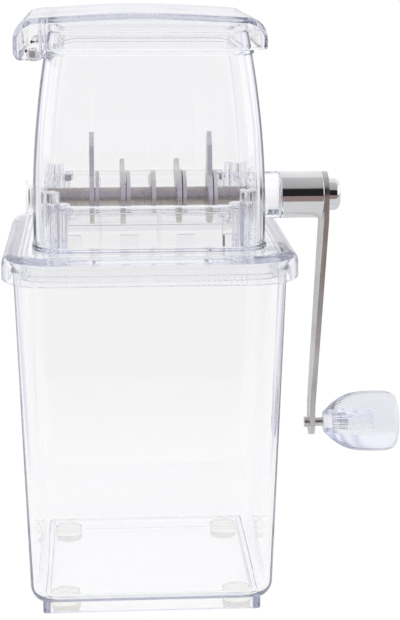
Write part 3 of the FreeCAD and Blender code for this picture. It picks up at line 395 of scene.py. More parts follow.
class CrusherPlastic(bpy.types.PropertyGroup):
    """Finish and section of the clear plastic pieces"""
    plastic_tint: bpy.props.FloatVectorProperty(
        name="Tint", description="Colour that long paths through the plastic take", subtype="COLOR",
        size=3, min=0, max=1, default=(0.25, 0.29, 0.50))
    tint_density: bpy.props.FloatProperty(
        name="Tint density", description="How fast the tint builds up with depth, per metre", min=0,
        default=5.5)
    plastic_ior: bpy.props.FloatProperty(
        name="Refractive index", description="Refractive index of the plastic", min=1, max=2.5,
        default=1.49)
    plastic_haze: bpy.props.FloatProperty(
        name="Haze", description="Roughness of the haziest patches", min=0, max=1, default=0.05,
        subtype="FACTOR")
    edge_round: bpy.props.FloatProperty(
        name="Edge rounding", description="Radius of the small moulded edges", min=0.0001,
        default=0.0005, unit="LENGTH")
    tub_wall: bpy.props.FloatProperty(
        name="Tub wall", description="Thickness of the tub's wall", min=0.001, default=0.0026,
        unit="LENGTH")
    tower_wall: bpy.props.FloatProperty(
        name="Tower wall", description="Thickness of the hopper tower's wall", min=0.001,
        default=0.0030, unit="LENGTH")
    lid_wall: bpy.props.FloatProperty(
        name="Lid wall", description="Thickness of the lid's wall", min=0.001, default=0.0024,
        unit="LENGTH")


class CrusherStage(bpy.types.PropertyGroup):
    """Floor, light and camera"""
    floor_shade: bpy.props.FloatVectorProperty(
        name="Floor", description="Colour of the floor", subtype="COLOR", size=3, min=0, max=1,
        default=(0.30, 0.30, 0.30))
    sky_strength: bpy.props.FloatProperty(
        name="Studio light", description="Brightness of the studio round the object", min=0,
        default=1.45)
    floor_glow: bpy.props.FloatProperty(
        name="Floor glow", description="Light that the lit floor gives off itself", min=0, default=0.67)
    # Painted shade: a darker grey that the floor gives off in front of the object, seen only by rays
    # that the plastic bends
    front_painted_shade: bpy.props.FloatVectorProperty(
        name="Floor in front", subtype="COLOR", size=3, min=0, max=1, default=(0.34, 0.33, 0.35),
        description="Colour of the floor in front of the object, as the plastic bends it into view")
    room_dark: bpy.props.FloatVectorProperty(
        name="Dark side in reflections", subtype="COLOR", size=3, min=0, max=1,
        default=(0.012, 0.012, 0.013),
        description="Colour of the unlit room behind the camera, as gloss shows it")
    room_soft: bpy.props.FloatVectorProperty(
        name="Dark side in the plastic", subtype="COLOR", size=3, min=0, max=1,
        default=(0.58, 0.59, 0.70),
        description="Colour of that room as the plastic's edges bend it into view")
    camera_place: bpy.props.FloatVectorProperty(
        name="Camera place", description="Where the camera stands", subtype="XYZ", unit="LENGTH",
        size=3, default=(-0.0207, -0.6907, 0.2810))
    camera_turn: bpy.props.FloatProperty(
        name="Camera turn", description="Turn of the camera towards +X", subtype="ANGLE",
        default=math.radians(3.58))
    camera_down: bpy.props.FloatProperty(
        name="Camera tilt", description="Tilt of the camera below level", subtype="ANGLE",
        default=math.radians(8.85))
    focal_pixels: bpy.props.FloatProperty(
        name="Focal length", description="Focal length in image heights", min=0.1,
        default=1628.8 / 620)
    shift_x: bpy.props.FloatProperty(
        name="Shift across", description="Lens shift across, in image heights", default=0.8 / 620)
    shift_y: bpy.props.FloatProperty(
        name="Shift up", description="Lens shift up, in image heights", default=-124.4 / 620)


def settings():
    """The two groups of settings, from the scene."""
    scene = bpy.context.scene
    return scene.crusher_plastic, scene.crusher_stage


# ---------------------------------------------------------------- the clear tub


TUB_HALF = (55.7, 57.6)
TUB_CORNER = 14.0
TUB_RIM = 150.5
TUB_UNDER = 6.0
TUB_FLOOR_TOP = 8.7
TUB_FLOOR_REACH = -42.0  # how far in the floor's rows run before a fan closes it
TUB_TAPER = 5.6
TUB_ROUND = 6.6
TUB_ROUND_INSIDE = 4.2
BEAD_OUT = 1.0
BEAD_TALL = 4.0
RING_HALF = (45.3, 47.2)
RING_CORNER = 1.6
RING_WALL = 3.0
RING_FOOT = 1.2
RING_SUNK = 0.4  # how far the foot ring reaches up into the floor


def tapered(path, columns):
    """Rows of the tub: a path point (outset, height) stands out by outset from a wall that leans in
    evenly from rim to foot."""
    outset = path[:, 0] - TUB_TAPER * (TUB_RIM - path[:, 1]) / (TUB_RIM - TUB_UNDER)
    return plan_grid(columns, TUB_HALF[0] + outset, TUB_HALF[1] + outset, TUB_CORNER + outset,
                     path[:, 1])


class CRUSHER_OT_tub(bpy.types.Operator):
    """Build the clear tub with its rim bead, rounded floor and foot ring"""
    bl_idname = "crusher.tub"
    bl_label = "Tub"

    def execute(self, context):
        plastic, _ = settings()
        edge, wall = plastic.edge_round / MM, plastic.tub_wall / MM
        material = clear_plastic("clear_tub_plastic", plastic)
        bead_foot, rim = TUB_RIM - BEAD_TALL, TUB_RIM - CONTACT_GAP
        path = arc_path([
            (TUB_FLOOR_REACH, TUB_UNDER), (0, TUB_UNDER, TUB_ROUND), (0, bead_foot, edge),
            (BEAD_OUT, bead_foot, edge), (BEAD_OUT, rim, edge), (-wall, rim, edge),
            (-wall, TUB_FLOOR_TOP, TUB_ROUND_INSIDE), (TUB_FLOOR_REACH, TUB_FLOOR_TOP)],
            steps=8, support=1.5)
        body = grid_mesh(tapered(path, plan_columns(18)), pole_start=(0, 0, TUB_UNDER),
                         pole_end=(0, 0, TUB_FLOOR_TOP))
        top = TUB_UNDER + RING_SUNK
        ring = arc_path([(0, RING_FOOT, 0.6), (0, top, 0.2), (-RING_WALL, top, 0.2),
                         (-RING_WALL, RING_FOOT, 0.6)], closed=True)
        ring = plan_grid(plan_columns(6), RING_HALF[0] + ring[:, 0], RING_HALF[1] + ring[:, 0],
                         RING_CORNER + ring[:, 0], ring[:, 1], least=0.006)
        add_piece("clear_tub", *body, "tub", "clear_plastic", material, ["ice_tub"])
        add_piece("tub_foot_ring", *grid_mesh(ring, closed_rows=True), "tub", "clear_plastic", material)
        return {"FINISHED"}


class CRUSHER_OT_feet(bpy.types.Operator):
    """Build the four soft feet inside the foot ring"""
    bl_idname = "crusher.feet"
    bl_label = "Feet"

    def execute(self, context):
        material = clear_rubber("soft_foot_rubber")
        for number in range(1, 5):
            low, high = node_box(f"foot_pad_{number}")
            x, y = (low[:2] + high[:2]) / 2
            radius, top = (high[0] - low[0]) / 2, high[2] - CONTACT_GAP
            path = arc_path([(0, NEAR_AXIS), (0, radius, 0.9), (top, radius, 0.3), (top, NEAR_AXIS)],
                            steps=6, support=0.5)
            foot = grid_mesh(turned_grid(path, "Z", 48, (x, y, 0)), pole_start=(x, y, 0),
                             pole_end=(x, y, top))
            add_piece(f"soft_foot_{number}", *foot, "tub", "foot_rubber", material,
                      [f"foot_pad_{number}"])
        return {"FINISHED"}


# ---------------------------------------------------------------- the collar


DECK = 153.5
COLLAR_FOOT = 142.4
LIP_FOOT = 143.5
SKIRT, LIP_OUT, LIP_IN, THROAT = 2.6, 7.87, 9.87, 18.9  # distances in from the collar's outside
COLLAR_PLAN = {  # half x, half y and corner at those distances
    0.0: (60.1, 62.0, 18.4), SKIRT: (57.5, 59.4, 15.8), LIP_OUT: (52.23, 54.13, 10.8),
    LIP_IN: (50.23, 52.13, 8.8), THROAT: (41.2, 41.4, 18.0)}
RIPPLE_DEPTH = 0.18
RIPPLE_PITCH = 2.2


class CRUSHER_OT_collar(bpy.types.Operator):
    """Build the clear collar: a deck with a throat, a skirt with fine ripples inside, and a lip"""
    bl_idname = "crusher.collar"
    bl_label = "Collar"

    def execute(self, context):
        plastic, _ = settings()
        edge = plastic.edge_round / MM
        material = clear_plastic("clear_collar_plastic", plastic)
        path = arc_path([
            (0, COLLAR_FOOT, 1.2), (0, DECK, 4.4), (THROAT, DECK, edge), (THROAT, TUB_RIM, edge),
            (LIP_IN, TUB_RIM, 0.4), (LIP_IN, LIP_FOOT, edge), (LIP_OUT, LIP_FOOT, edge),
            (LIP_OUT, TUB_RIM, 0.4), (SKIRT, TUB_RIM, 0.8), (SKIRT, COLLAR_FOOT, edge)],
            closed=True, steps=6)
        stations = np.array(sorted(COLLAR_PLAN))
        shape = np.array([COLLAR_PLAN[s] for s in sorted(COLLAR_PLAN)])
        half_x, half_y, corner = (np.interp(path[:, 0], stations, shape[:, k]) for k in range(3))
        columns = plan_columns(20, along_x=np.linspace(-0.93, 0.93, 260))
        grid = plan_grid(columns, half_x, half_y, corner, path[:, 1])
        inside = ((np.abs(path[:, 0] - SKIRT) < 0.01) & (path[:, 1] > COLLAR_FOOT + 1)
                  & (path[:, 1] < TUB_RIM - 2))
        long_side = (np.abs(columns[1][:, 1]) > 0.999) & (np.abs(columns[0][:, 0]) < 0.92)
        ripple = RIPPLE_DEPTH * (1 - np.cos(2 * math.pi * grid[..., 0] / RIPPLE_PITCH))
        grid[..., 1] -= ripple * (inside[:, None] & long_side[None]) * np.sign(grid[..., 1])
        add_piece("clear_collar", *grid_mesh(grid, closed_rows=True), "head", "clear_plastic",
                  material, ["base_collar"])
        return {"FINISHED"}


# ---------------------------------------------------------------- the hopper tower


TOWER_HALF = (47.4, 47.6)
TOWER_CORNER = 12.0
TOWER_TALL = 88.0
TOWER_WIDEST = 14.5
BARREL = 400.0
BEAD_RISE = (1.4, 2.2)  # heights over the deck of the foot bead's edge and of its end on the wall
BAND_RISE = (79.0, 80.6)  # the same of the band under the lid
TRIM_OUT = 0.9  # how far the foot bead and the band stand out
POST_PLACE = (40.5, 40.7)
POST_RADIUS = 4.2
POST_BORE = 1.6
POST_TALL = 24.0
BORE_SIDE = 2.2  # a post's points nearer to its axis belong to its bore
BORE_WALL = 0.3
RIGHT_BOSS = (56.6, 10.1, 6.5)  # end, outer radius and the bush's radius
LEFT_BOSS = (-51.6, 7.0, 5.5)
HINGE = (-46.2, 233.5)
LUG_RADIUS = 3.2
LUG_WIDE = 5.0
LUG_STARTS = (24.8, -29.8)
SHAFT_Z = 169.0


def barrel_in(height):
    """How far the barrel curve stands in at a height over the deck: R - sqrt(R^2 - (h - widest)^2)."""
    return BARREL - np.sqrt(BARREL ** 2 - (height - TOWER_WIDEST) ** 2)


class CRUSHER_OT_tower(bpy.types.Operator):
    """Build the clear hopper tower with its bearing bosses, screw posts and hinge lugs"""
    bl_idname = "crusher.tower"
    bl_label = "Hopper tower"

    def execute(self, context):
        plastic, _ = settings()
        edge, wall = plastic.edge_round / MM, plastic.tower_wall / MM
        material = clear_plastic("clear_tower_plastic", plastic)
        path = arc_path([
            (-wall, CONTACT_GAP, edge), (TRIM_OUT, CONTACT_GAP, 0.3), (TRIM_OUT, BEAD_RISE[0], 0.6),
            (0, BEAD_RISE[1], 0.6), (0, BAND_RISE[0], 0.3), (TRIM_OUT, BAND_RISE[0], 0.4),
            (TRIM_OUT, BAND_RISE[1], 0.4), (0, BAND_RISE[1], 0.3), (0, TOWER_TALL, 0.9),
            (-wall, TOWER_TALL, 0.9)], closed=True, steps=5, reach=6.0)
        outset = path[:, 0] - barrel_in(path[:, 1])
        shell = plan_grid(plan_columns(20), TOWER_HALF[0] + outset, TOWER_HALF[1] + outset,
                          TOWER_CORNER + path[:, 0], DECK + path[:, 1])
        wall_face, axis = TOWER_HALF[0] + CONTACT_GAP, (0, 0, SHAFT_Z)
        end, outer, bush = RIGHT_BOSS
        right = tube_mesh(wall_face, end, outer, bush + CONTACT_GAP, "X", axis)
        end, outer, bush = LEFT_BOSS
        left = tube_mesh(end, -wall_face, outer, bush + CONTACT_GAP, "X", axis)
        pin_x, pin_z = HINGE
        root = -(TOWER_HALF[0] - barrel_in(pin_z - DECK)) + 1.0
        tip, low, high = pin_x - LUG_RADIUS, pin_z - LUG_RADIUS, pin_z + LUG_RADIUS
        lug = arc_path([(root, low), (root, high), (tip, high, 3.1), (tip, low, 3.1)], closed=True,
                       steps=10)
        pieces = [("clear_tower", grid_mesh(shell, closed_rows=True)), ("tower_boss_right", right),
                  ("tower_boss_left", left)]
        corners = [(sx * POST_PLACE[0], sy * POST_PLACE[1]) for sx in (-1, 1) for sy in (-1, 1)]
        for number, (x, y) in enumerate(corners, start=1):
            pieces.append((f"tower_post_{number}", self.post(x, y, wall)))
        for name, start in zip(("rear", "front"), LUG_STARTS):
            pieces.append((f"hinge_lug_{name}", plate_mesh(lug, start, start + LUG_WIDE, 0.4)))
        for name, mesh in pieces:
            add_piece(name, *mesh, "head", "clear_plastic", material,
                      ["hopper_tower"] if name == "clear_tower" else ())
        return {"FINISHED"}

    def post(self, x, y, wall):
        """A screw post in a corner: a tube whose side towards the corner is drawn in to the wall's
        inner face.

        With c the centre of the wall's corner arc and r its radius less a gap, a point p further
        than r from c becomes c + (p - c) r / |p - c|; the bore keeps a thin wall there."""
        points, faces = tube_mesh(DECK + CONTACT_GAP, DECK + POST_TALL, POST_RADIUS, POST_BORE, "Z",
                                  (x, y, 0), edge=0.5, around=40)
        corner = TOWER_CORNER - wall
        side = np.sign((x, y))
        centre = np.array(TOWER_HALF) - wall - corner - barrel_in(points[:, 2] - DECK)[:, None]
        away = np.maximum(np.abs(points[:, :2]) - centre, 0)
        far = np.linalg.norm(away, axis=1)
        bore = np.linalg.norm(points[:, :2] - (x, y), axis=1) < BORE_SIDE
        reach = corner - np.where(bore, BORE_WALL, CONTACT_GAP)
        draw = 1 - np.minimum(1, reach / np.maximum(far, 1e-6))
        points = points.copy()
        points[:, :2] -= side * away * draw[:, None]
        return points, faces


# ---------------------------------------------------------------- the lid


LID_END_ROUND = 8.4
LID_STEP = -43.3  # where the lid's front and rear step back to the ear
LID_CORNER = 6.5
LID_EDGE = 1.1
EAR_CORNER = 5.0
EAR_BACK = 1.2  # how far the ear's front and rear stand back
STEP_OUT, STEP_DENT = 0.9, 0.25  # radii of the step's outer and inner corner
CROWN_TALL = 7.905  # height of the crown over the tower, in its middle
CROWN_MEET = 23.56  # where its arc meets the slopes
SLOPE_TALL, SLOPE_FALL = 8.6, 3.0  # height of the slopes in the middle, and their fall to an end
SKIRT_DEEP = 6.8
EAR_DEEP = 4.1  # how much lower the ear's foot is
EAR_FROM, EAR_STEP = -41.4, 1.8  # where the foot line starts down to the ear, and over what length
EAR_FOOT_ROUND = 3.4
RIB_AIR = 0.3  # between the lid's rib and the tower's outside line
RIB_INTO = 0.15  # how far the rib reaches into the lid's ceiling


def arc(x, y, radius, start, end, steps):
    """Points (x + r cos t, y + r sin t) with t from start to end in degrees."""
    t = np.radians(np.linspace(start, end, steps + 1))
    return np.c_[x + radius * np.cos(t), y + radius * np.sin(t)]


def lid_loop(low, high, inset):
    """The lid's outline from above, drawn in by an inset, anticlockwise from the middle of its
    right rear corner.

    Its rear side steps back to the ear; its front side mirrors it. Returns the points and the
    numbers of spans along the rear and along the left side, each counted between the middles of
    two corners."""
    right, left, step = high[0] - inset, low[0] + inset, LID_STEP + inset
    y, ear_y = high[1] - inset, high[1] - EAR_BACK - inset
    corner, ear_corner = max(LID_CORNER - inset, 0.4), max(EAR_CORNER - inset, 0.4)
    out = max(STEP_OUT - inset, 0.1)
    dent = min(STEP_DENT + inset, 1.18 - out)
    close = np.array([0.012, 0.028, 0.05, 0.075, 0.10, 0.14, 0.2, 0.3, 0.4, 0.5, 0.6, 0.7, 0.8, 0.9,
                      0.99])
    ear_close = np.array([0.1, 0.3, 0.5, 0.7, 0.9])
    start, end = right - corner, step + out
    ear_start, ear_end = step - dent, left + ear_corner
    rear = np.vstack([
        arc(right - corner, y - corner, corner, 45, 90, 7),
        np.c_[start + (end - start) * close, np.full(len(close), y)],
        arc(step + out, y - out, out, 90, 180, 4),
        arc(step - dent, ear_y + dent, dent, 0, -90, 4),
        np.c_[ear_start + (ear_end - ear_start) * ear_close, np.full(len(ear_close), ear_y)],
        arc(left + ear_corner, ear_y - ear_corner, ear_corner, 90, 135, 7)])
    across = np.linspace(0.97, -0.97, 13)
    left_side = np.vstack([
        arc(left + ear_corner, ear_y - ear_corner, ear_corner, 135, 180, 7)[1:],
        np.c_[np.full(13, left), across * (ear_y - ear_corner)],
        arc(left + ear_corner, -ear_y + ear_corner, ear_corner, 180, 225, 7)])
    right_side = np.vstack([
        arc(right - corner, -y + corner, corner, 315, 360, 7)[1:],
        np.c_[np.full(13, right), -across * (y - corner)],
        arc(right - corner, y - corner, corner, 0, 45, 7)[:-1]])
    front = rear[::-1] * (1, -1)
    return np.vstack([rear, left_side, front[1:], right_side]), len(rear) - 1, len(left_side)


def filled_patch(loop, along, across):
    """A grid whose border is a closed loop: opposite border points joined by straight lines, plus
    the bulge of the two other borders, each shared out by distance."""
    count = len(loop)
    rear, front = loop[:along + 1], loop[2 * along + across - np.arange(along + 1)]
    left, right = loop[along + np.arange(across + 1)], loop[(count - np.arange(across + 1)) % count]
    u = ((rear[:, 0] - rear[0, 0]) / (rear[-1, 0] - rear[0, 0]))[:, None, None]
    v = ((left[:, 1] - left[0, 1]) / (left[-1, 1] - left[0, 1]))[None, :, None]
    chords = (1 - u) * ((1 - v) * rear[0] + v * front[0]) + u * ((1 - v) * rear[-1] + v * front[-1])
    return ((1 - v) * rear[:, None] + v * front[:, None] + (1 - u) * right[None] + u * left[None]
            - chords)


class CRUSHER_OT_lid(bpy.types.Operator):
    """Build the clear lid with its crown, hinge ear and inner rib"""
    bl_idname = "crusher.lid"
    bl_label = "Lid"

    def execute(self, context):
        plastic, _ = settings()
        wall = plastic.lid_wall / MM
        material = clear_plastic("clear_lid_plastic", plastic)
        low, high = node_box("hopper_lid")
        middle, half_x = (low[0] + high[0]) / 2, (high[0] - low[0]) / 2
        tower_top = DECK + TOWER_TALL

        def crown(x, depth):
            """The top at x, seen from the front, drawn in by a depth: an arc of the barrel radius in
            the middle, straight slopes beside it, and a quarter-round at each end."""
            u = np.abs(x - middle)
            sunk = BARREL - np.sqrt(BARREL ** 2 - np.minimum(u, CROWN_MEET) ** 2)
            top = np.where(u < CROWN_MEET, CROWN_TALL - sunk, SLOPE_TALL - SLOPE_FALL / half_x * u)
            reach = LID_END_ROUND - depth
            past = np.clip(u - (half_x - LID_END_ROUND), 0, reach)
            return tower_top + top - depth - (reach - np.sqrt(reach ** 2 - past ** 2))

        def foot_line(x):
            """The skirt's foot: level, then over a smooth step down to the ear, whose outer end is a
            quarter-round."""
            ear = np.clip((EAR_FROM - x) / EAR_STEP, 0, 1)
            left = np.clip(EAR_FOOT_ROUND - (x - low[0]), 0, EAR_FOOT_ROUND)
            return (tower_top - SKIRT_DEEP - EAR_DEEP * ear * ear * (3 - 2 * ear)
                    + EAR_FOOT_ROUND - np.sqrt(EAR_FOOT_ROUND ** 2 - left ** 2))

        def side(depth, rounding):
            """Rows from the foot to the crown: the wall, then a quarter-round along the outline."""
            t = np.linspace(0, math.pi / 2, 8)
            rows = []
            for drawn_in, drop in zip(depth + rounding * (1 - np.cos(t)), rounding * (1 - np.sin(t))):
                loop, along, across = lid_loop(low, high, drawn_in)
                rows.append(np.c_[loop, crown(loop[:, 0], depth) - drop])
            wall_loop = rows[0]
            foot = foot_line(wall_loop[:, 0])
            top = wall_loop[:, 2] - 0.8
            for height in (top, (foot + top) / 2, foot + 1.2, foot + 0.5):
                rows.insert(0, np.c_[wall_loop[:, :2], np.maximum(height, foot + 0.5)])
            patch = filled_patch(rows[-1][:, :2], along, across)
            return np.stack(rows), np.concatenate([patch, crown(patch[..., :1], depth)], axis=-1)

        outer, outer_patch = side(0.0, LID_EDGE)
        inner, inner_patch = side(wall, 0.5)
        inner = inner[::-1]
        t = np.linspace(math.pi, 2 * math.pi, 7)[1:-1, None, None]
        outer_foot, inner_foot = outer[0][None], inner[-1][None]
        foot = (outer_foot + inner_foot) / 2 + (outer_foot - inner_foot) / 2 * np.cos(t)
        foot[..., 2] += 0.5 * np.sin(t[..., 0])
        grid = np.concatenate([inner, foot, outer])
        points, faces = grid_mesh(grid, closed_rows=False)
        last = (len(grid) - 1) * grid.shape[1]
        for patch, first, turned in ((inner_patch, 0, True), (outer_patch, last, False)):
            ids = np.zeros(patch.shape[:2], int)
            along, across, count = ids.shape[0] - 1, ids.shape[1] - 1, grid.shape[1]
            ids[:, 0] = first + np.arange(along + 1)
            ids[-1] = first + along + np.arange(across + 1)
            ids[:, -1] = first + 2 * along + across - np.arange(along + 1)
            ids[0] = first + (count - np.arange(across + 1)) % count
            inside = np.arange((along - 1) * (across - 1)).reshape(along - 1, across - 1)
            ids[1:-1, 1:-1] = len(points) + inside
            points = np.vstack([points, patch[1:-1, 1:-1].reshape(-1, 3)])
            quads = np.stack([ids[:-1, :-1], ids[1:, :-1], ids[1:, 1:], ids[:-1, 1:]], axis=-1)
            quads = quads.reshape(-1, 4)
            faces.append(quads[:, ::-1] if turned else quads)
        add_piece("clear_lid", points, faces, "lid", "clear_plastic", material, ["hopper_lid"])
        rib = self.rib(lambda x: crown(x, wall), tower_top)
        add_piece("lid_rib", *grid_mesh(rib, closed_rows=True), "lid", "clear_plastic", material)
        for name, face in (("front", -1), ("rear", 1)):
            ring = tube_mesh(face * (high[1] - 1.15), face * (high[1] - 0.45), 2.5, 1.85, "Y",
                             (HINGE[0], 0, HINGE[1]), edge=0.2)
            add_piece(f"ear_ring_{name}", *ring, "lid", "clear_plastic", material)
        return {"FINISHED"}

    def rib(self, ceiling, foot):
        """The locating rib inside the tower's mouth: a rounded rectangle whose top follows the
        ceiling."""
        half_x, half_y = (half - barrel_in(TOWER_TALL) - RIB_AIR for half in TOWER_HALF)
        stations = np.linspace(-0.9, 0.9, 13)
        path = arc_path([(0, 0, 0.3), (0, 1, 0.0), (-2, 1, 0.0), (-2, 0, 0.3)], closed=True)
        grid = plan_grid(plan_columns(18, stations, stations), half_x + path[:, 0],
                         half_y + path[:, 0], TOWER_CORNER + path[:, 0], path[:, 1])
        top = ceiling(grid[..., 0]) + RIB_INTO
        grid[..., 2] = foot + CONTACT_GAP + (top - foot) * grid[..., 2]
        return grid


# ---------------------------------------------------------------- the blade carrier


CARRIER_WALL = 2.4
CARRIER_RIM = (1.5, 3.0)  # how far the top rim stands in from the wall, and how tall it is
CARRIER_NOTCH = 7.7
CARRIER_SLOT = 5.2  # radius of the slots that the shaft lies in
CARRIER_DROP = 2.2  # how much lower the top lies at the front
DROP_FROM = DECK + 8  # rows above this height follow that slope
BLOCK_FOOT = DECK + 0.4
RIB_PLACES = (-20.4, 3.55, 29.8)
TAB_PLACES = (-31.5, -8.4, 14.5, 33.0)
TAB_TALL = 6.4


class CRUSHER_OT_carrier(bpy.types.Operator):
    """Build the clear carrier that holds the fixed plates"""
    bl_idname = "crusher.carrier"
    bl_label = "Blade carrier"

    def execute(self, context):
        plastic, _ = settings()
        material = clear_plastic("clear_carrier_plastic", plastic)
        _, (half_x, half_y, top) = node_box("blade_carrier")
        slot, wall, foot = CARRIER_SLOT, CARRIER_WALL, DECK + CONTACT_GAP
        rim_in, rim_foot = wall + CARRIER_RIM[0], top - CARRIER_RIM[1]
        round_slot = slot * np.sin(np.linspace(-math.pi / 2, math.pi / 2, 17))
        near = np.r_[-slot - 0.8, -slot - 0.02, round_slot, slot + 0.02, slot + 0.8]

        def plan(inset):
            """The notched rectangle drawn in by an inset, with stations for the shaft's slots on its
            two ends."""
            x, y = half_x - inset, half_y - inset
            u, v = x - CARRIER_NOTCH, y - CARRIER_NOTCH
            out, dent = max(1.2 - inset, 0.3), 0.8 + inset
            path = arc_path([
                (x, v, out), (u, v, dent), (u, y, out), (-u, y, out), (-u, v, dent),
                (-x, v, out), (-x, -v, out), (-u, -v, dent), (-u, -y, out), (u, -y, out),
                (u, -v, dent), (x, -v, out)],
                closed=True, steps=4, support=0.8)
            half = len(path) // 2
            return np.vstack([path[:half], np.c_[np.full(len(near), -x), -near], path[half:],
                              np.c_[np.full(len(near), x), near]])

        path = arc_path([(0, foot, 0.3), (0, top, 0.5), (rim_in, top, 0.5), (rim_in, rim_foot, 0.3),
                         (wall, rim_foot, 0.3), (wall, foot, 0.3)], closed=True, steps=4, support=0.6)
        inset, rise = path[:, 0], path[:, 1][:, None]
        outside = plan(0.0)
        y = outside[:, 1]
        slot_foot = SHAFT_Z - np.sqrt(np.maximum(slot ** 2 - y ** 2, 0))
        open_here = (np.abs(outside[:, 0]) > half_x - 0.01) & (np.abs(y) <= slot + 1e-6)
        ceiling = np.where(open_here, slot_foot, top)
        drop = CARRIER_DROP * (half_y - y) / (2 * half_y)
        height = np.minimum(rise - drop[None] * (rise > DROP_FROM), ceiling[None])
        flat = np.stack([plan(step) for step in inset])
        thin = np.stack([plan(step) for step in np.minimum(inset, wall)])
        flat[:, open_here] = thin[:, open_here]
        shell = np.concatenate([flat, height[..., None]], axis=-1)
        add_piece("clear_carrier", *grid_mesh(shell, closed_rows=True), "head", "clear_plastic",
                  material, ["blade_carrier"])
        for side, face in (("front", -1), ("rear", 1)):
            rib_top = rim_foot - 0.1 - CARRIER_DROP / 2 * (1 - face)
            for number, x in enumerate(RIB_PLACES, start=1):
                rib = self.block(x, face * (half_y - wall - 0.9), 1.3, 1.6, BLOCK_FOOT, rib_top)
                add_piece(f"carrier_rib_{side}_{number}", *rib, "head", "clear_plastic", material)
            for number, x in enumerate(TAB_PLACES, start=1):
                tab = self.block(x, face * (half_y - wall - 1.0), 7.4, 1.8, BLOCK_FOOT, DECK + TAB_TALL)
                add_piece(f"carrier_tab_{side}_{number}", *tab, "head", "clear_plastic", material)
        return {"FINISHED"}

    def block(self, x, y, wide, deep, low, high):
        """A small upright block: a rounded rectangle carried up along a rounded path."""
        path = arc_path([(-0.6, low), (0, low, 0.2), (0, high, 0.3), (-0.6, high)], steps=3,
                        support=0.2)
        inset = path[:, 0]
        grid = plan_grid(plan_columns(4), wide / 2 + inset, deep / 2 + inset, 0.3 + inset, path[:, 1])
        return grid_mesh(grid + (x, y, 0), pole_start=(x, y, low), pole_end=(x, y, high))


# ---------------------------------------------------------------- metal in the head


def dress(nodes, material):
    """Gives CAD nodes whose shape stays one finish."""
    for node in nodes:
        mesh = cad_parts[node].data
        mesh.materials.clear()
        mesh.materials.append(material)


class CRUSHER_OT_cutters(bpy.types.Operator):
    """Finish the shaft, the rotor blades and the fixed plates"""
    bl_idname = "crusher.cutters"
    bl_label = "Shaft and blades"

    def execute(self, context):
        blade = worked_steel("stained_blade_steel", (0.67, 0.655, 0.625), (0.53, 0.505, 0.48),
                             (0.22, 0.42), (0.04, 1, 1), brush=0.1)
        shaft = worked_steel("turned_shaft_steel", (0.43, 0.40, 0.37), (0.335, 0.305, 0.285),
                             (0.16, 0.30), (1, 0.05, 0.05), stain_scale=45, brush=0.05)
        dress([f"rotor_blade_{number}" for number in range(1, 5)], blade)
        dress([f"fixed_plate_{number}" for number in range(1, 6)], blade)
        dress(["rotor_shaft"], shaft)
        return {"FINISHED"}


PIN_DISH = 0.35
PIN_HEAD = (  # depth behind the head's face, radius and rounding
    (PIN_DISH, NEAR_AXIS), (PIN_DISH, 0.75, 0.1), (0.0, 0.95, 0.12), (0.0, 1.48, 0.3),
    (0.9, 1.48, 0.1), (0.9, 1.2, 0.05))
PIN_RADIUS = 1.2
SCREW_HEAD = (2.4 - CONTACT_GAP, 3.6)  # height and radius
SCREW_CORE, SCREW_CREST, SCREW_PITCH = 1.0, 1.4, 1.3
SCREW_POINT = 2.5  # length over which the screw narrows to its point
SCREW_AROUND = 40


